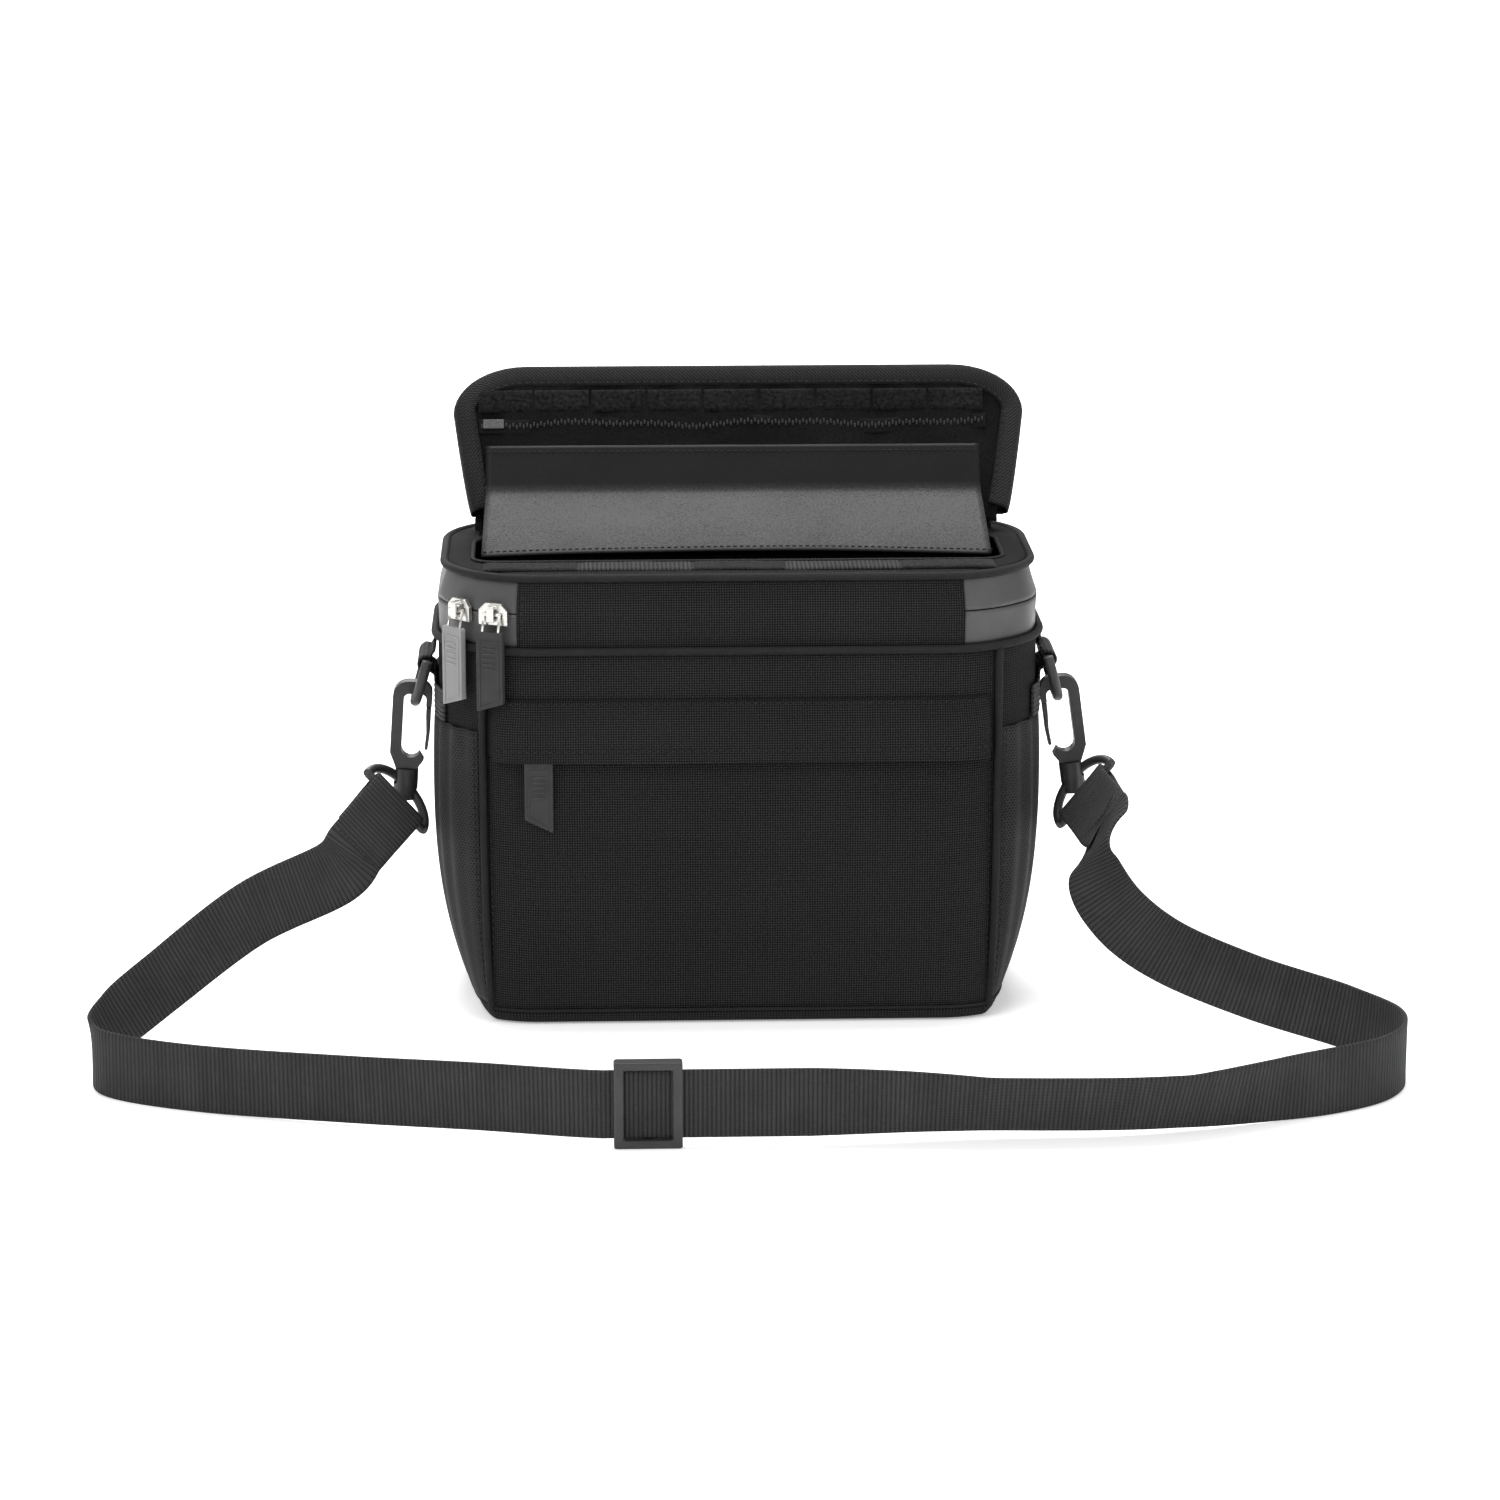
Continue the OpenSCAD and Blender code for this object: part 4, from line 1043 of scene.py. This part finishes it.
def build_strap():
    (lf, bar_l), (rt, bar_r) = half_strap(LEFT), half_strap(RIGHT)
    mid = points(linspace(-60, 60, 31) * MM, STRAP_Y, STRAP_Z)
    path = np.concatenate([lf, np.insert(mid, 3, 0, 1), rt[::-1]])
    p, twist = path[:, :3], path[:, 3:]
    tan = unit(np.gradient(p, axis=0))
    w = (1 - twist) * UP + twist * np.where(p[:, :1] < 0, bar_l, bar_r)
    w = unit(w - (w * tan).sum(1)[:, None] * tan)
    x, y = p[:, :1], p[:, 1:2]
    start, end = clamp((x - 22 * MM) / (70 * MM)), clamp((230 * MM - x) / (60 * MM))
    lean = STRAP_LEAN * (1 - twist) * start * end * clamp((-170 * MM - y) / (30 * MM))
    p[:, 2:] -= WEB_W / 2 * (1 - np.cos(lean))
    w = w * np.cos(lean) - np.cross(w, tan) * np.sin(lean)
    n = np.cross(tan, w)
    h, t = WEB_W / 2, WEB_T / 2
    half = [(-h, 0.4), (-h + 0.5 * MM, 1), (-h + 2.2 * MM, 1), (-h / 2, 0.92)]
    half += [(0, 0.92)] + [(-a, b) for a, b in half[::-1]]
    section = [(a, -t * b) for a, b in half] + [(a, t * b) for a, b in half[::-1]]
    P = np.stack([p + w * a + n * b for a, b in section], 1)
    o = grid("strap_webbing_band", P, WEBBING, wrap=True, caps=True)
    place(o, "strap", "strap_webbing", slot="webbing")
    rows = []
    for run, bar in ((lf, bar_l), (rt, bar_r)):
        out = unit(np.cross(run[26, :3] - run[22, :3], bar)) * (0.9 * MM)
        if (out @ (0, 0.3, 1.0)) < 0:
            out = -out
        rows.append(np.array([run[24, :3] + out + k * bar * 11 * MM for k in (-1, 1)]))
    stitches("strap_fold_stitches", rows, "strap", "webbing", 2.2 * MM, 1.6 * MM)


# ---------- hard parts: CAD nodes with eased edges ----------
def ease(node, mat, width=0, segments=3):
    """Weld a CAD node's look, round its edges and smooth its shading."""
    o = frame["nodes"][node]
    o.data.materials.clear()
    o.data.materials.append(mat)
    o.modifiers.new("weld", "WELD").merge_threshold = 2e-5
    if width:
        round_edges(o, width, segments, math.radians(38))
    o.data.polygons.foreach_set("use_smooth", [True] * len(o.data.polygons))
    o.modifiers.new("normals", "WEIGHTED_NORMAL").keep_sharp = True


def build_hardware():
    for _, tag in SIDES:
        ease("snap_hook_" + tag, PLASTIC, 1.3 * MM, 4)
        ease("hook_gate_" + tag, PLASTIC, 0.5 * MM)
        ease("swivel_boss_" + tag, PLASTIC, 0.8 * MM)
        ease("strap_ring_" + tag, PLASTIC)
        ease("d_ring_" + tag, PLASTIC)
    ease("strap_adjuster", PLASTIC, 0.9 * MM)
    for tag in ("side", "front"):
        ease("zip_slider_" + tag, NICKEL, 0.35 * MM)
        ease("wire_loop_" + tag, NICKEL)
    for node in ("flap_zip_slider", "pocket_slider"):
        ease(node, GUNMETAL, 0.35 * MM)


def pull_tab(name, body, node, origin, x, out, length, thick, mat, slant=4 * MM):
    """Rubber tab with a slanted foot, a raised border and bars. x is across, out is away from the bag."""
    foot = (max(-slant, 0) - length, max(slant, 0) - length)
    w, inset = 6 * MM, 1.7 * MM
    outline = [(-w + 0.8 * MM, 0.9 * MM), (w - 0.8 * MM, 0.9 * MM), (w, 0.1 * MM), (w, foot[1]),
               (-w, foot[0]), (-w, 0.1 * MM)]
    verts = [origin + x * a + UP * b + out * d for d in (-thick / 2, thick / 2) for a, b in outline]
    n = len(outline)
    faces = [tuple(range(n)), tuple(range(2 * n - 1, n - 1, -1))]
    faces += [(i, i + n, (i + 1) % n + n, (i + 1) % n) for i in range(n)]
    o = round_edges(mesh_object(name, verts, faces, mat, smooth=False), 0.45 * MM, 3)
    place(o, body, node, slot="rubber_tab")
    face = origin + out * (thick / 2 + 0.05 * MM)
    c = [(-w + inset, -3 * MM), (w - inset, -3 * MM), (w - inset, foot[1] + 1.8 * MM),
         (-w + inset, foot[0] + 1.8 * MM)]
    ring = np.concatenate([linspace(c[i], c[(i + 1) % 4], 8, endpoint=False) for i in range(4)])
    path = [face + x * a + UP * b for a, b in ring]
    place(tube(name + "_border", path, 0.32 * MM, mat, 6, True), body, slot="rubber_tab")
    for k in range(5):
        line = [face - UP * (6 * MM + 2.2 * MM * k) + x * i * (w - 3.2 * MM) for i in (-1, 0, 1)]
        place(tube("%s_bar_%d" % (name, k + 1), line, 0.42 * MM, mat, 6), body, slot="rubber_tab")


def build_pulls():
    for tag, mat in (("side", RUBBER_LIGHT), ("front", RUBBER_DARK)):
        j = JOINT[tag + "_pull_swing"]
        out = unit(np.cross(j["axis"], UP))
        out = -out if out[1] > 0 else out
        x = np.cross(out, UP)
        x = x if x[0] > 0 else -x
        o = np.array(Vector(j["pos_m"]))
        length = o[2] - low("pull_" + tag).z
        pull_tab("zip_pull_" + tag, tag + "_tab", "pull_" + tag, o, x, out, length, 2.9 * MM, mat)
    o = np.array(Vector(JOINT["pocket_pull_swing"]["pos_m"]))
    length = o[2] - low("pocket_pull").z - 2 * MM
    x, out, shift = np.eye(3)[0], -ACROSS, np.array((1.2, -0.3, 1)) * MM
    pull_tab("pocket_zip_pull", "pocket_tab", "pocket_pull", o + shift, x, out, length, 2.4 * MM,
             RUBBER_DARK, -6 * MM)


# ---------- floor, light, camera ----------
def aim(o, where, target):
    """Put a lamp or camera somewhere, facing the target."""
    o.location = where
    o.rotation_euler = (Vector(target) - Vector(where)).to_track_quat("-Z", "Y").to_euler()


def build_stage():
    s = Shader("studio_floor", 0.9, spec=0.1)
    s.colour(s.remap(s.noise(3, 2), 0.3, 0.7, 0, 1), 0.86, 0.9)
    s.bump(s.noise(300, 2), 0.02 * MM)
    s.b.inputs["Emission Color"].default_value = (1, 1, 1, 1)
    reach = s.node("VectorMath")
    reach.operation = "LENGTH"
    s.put(reach.inputs[0], s.node("NewGeometry").outputs["Position"])
    s.put(s.b.inputs["Emission Strength"], s.remap(reach.outputs["Value"], 0.5, 4.0, 0.3, 1.0))
    P = points(linspace(-9, 9, 12), linspace(-5, 14, 30)[:, None], 0.0)
    grid("studio_floor", P, s.m)
    world = bpy.data.worlds.new("studio")
    bpy.context.scene.world = world
    world.use_nodes = True
    t = world.node_tree
    link = t.links.new
    flat, sky = t.nodes["Background"], t.nodes.new("ShaderNodeBackground")
    coord, split = t.nodes.new("ShaderNodeTexCoord"), t.nodes.new("ShaderNodeSeparateXYZ")
    ramp, mix, ray = (t.nodes.new("ShaderNode" + k) for k in ("MapRange", "MixShader", "LightPath"))
    flat.inputs[0].default_value, flat.inputs[1].default_value = (1, 1, 1, 1), 1.0
    link(coord.outputs["Generated"], split.inputs[0])
    link(split.outputs[2], ramp.inputs[0])
    for k, v in enumerate((-0.1, 0.9, 0.22, 0.95)):
        ramp.inputs[k + 1].default_value = v
    link(ramp.outputs[0], sky.inputs[1])
    link(ray.outputs["Is Camera Ray"], mix.inputs[0])
    link(sky.outputs[0], mix.inputs[1])
    link(flat.outputs[0], mix.inputs[2])
    link(mix.outputs[0], t.nodes["World Output"].inputs[0])
    for name, where, target, power, extent in (
            ("key", (-1.3, -1.6, 2.0), (0, 0, 0.1), 30, 1.4),
            ("fill", (1.8, -1.5, 1.4), (0, 0, 0.1), 16, 1.6),
            ("top", (0.0, 0.5, 2.4), (0, 0, 0.1), 70, 1.2),
            ("rim", (-0.5, 2.2, 1.5), (0, 0, 0.2), 30, 1.6)):
        data = bpy.data.lights.new(name, "AREA")
        data.energy, data.size = power, extent
        aim(add(name, data), where, target)
    cam = bpy.data.cameras.new("camera")
    cam.lens, cam.sensor_width = 111, 36
    cam.shift_x, cam.shift_y = 0.0093, 0.006
    target = Vector((0, 0, 0.1))
    el, az, dist = math.radians(14.6), math.radians(-2), 2.0
    away = Vector((math.sin(az) * math.cos(el), -math.cos(az) * math.cos(el), math.sin(el)))
    o = add("camera", cam)
    aim(o, target + dist * away, target)
    bpy.context.scene.camera = o
    bpy.context.scene.view_settings.view_transform = "Standard"


build_panels()
build_base()
build_front_pocket()
build_storm_flap()
build_rims()
build_zip_band()
build_lid_top()
build_flap()
build_flap_fittings()
build_flap_pocket()
build_sides()
build_inside()
build_strap()
build_hardware()
build_pulls()
build_stage()
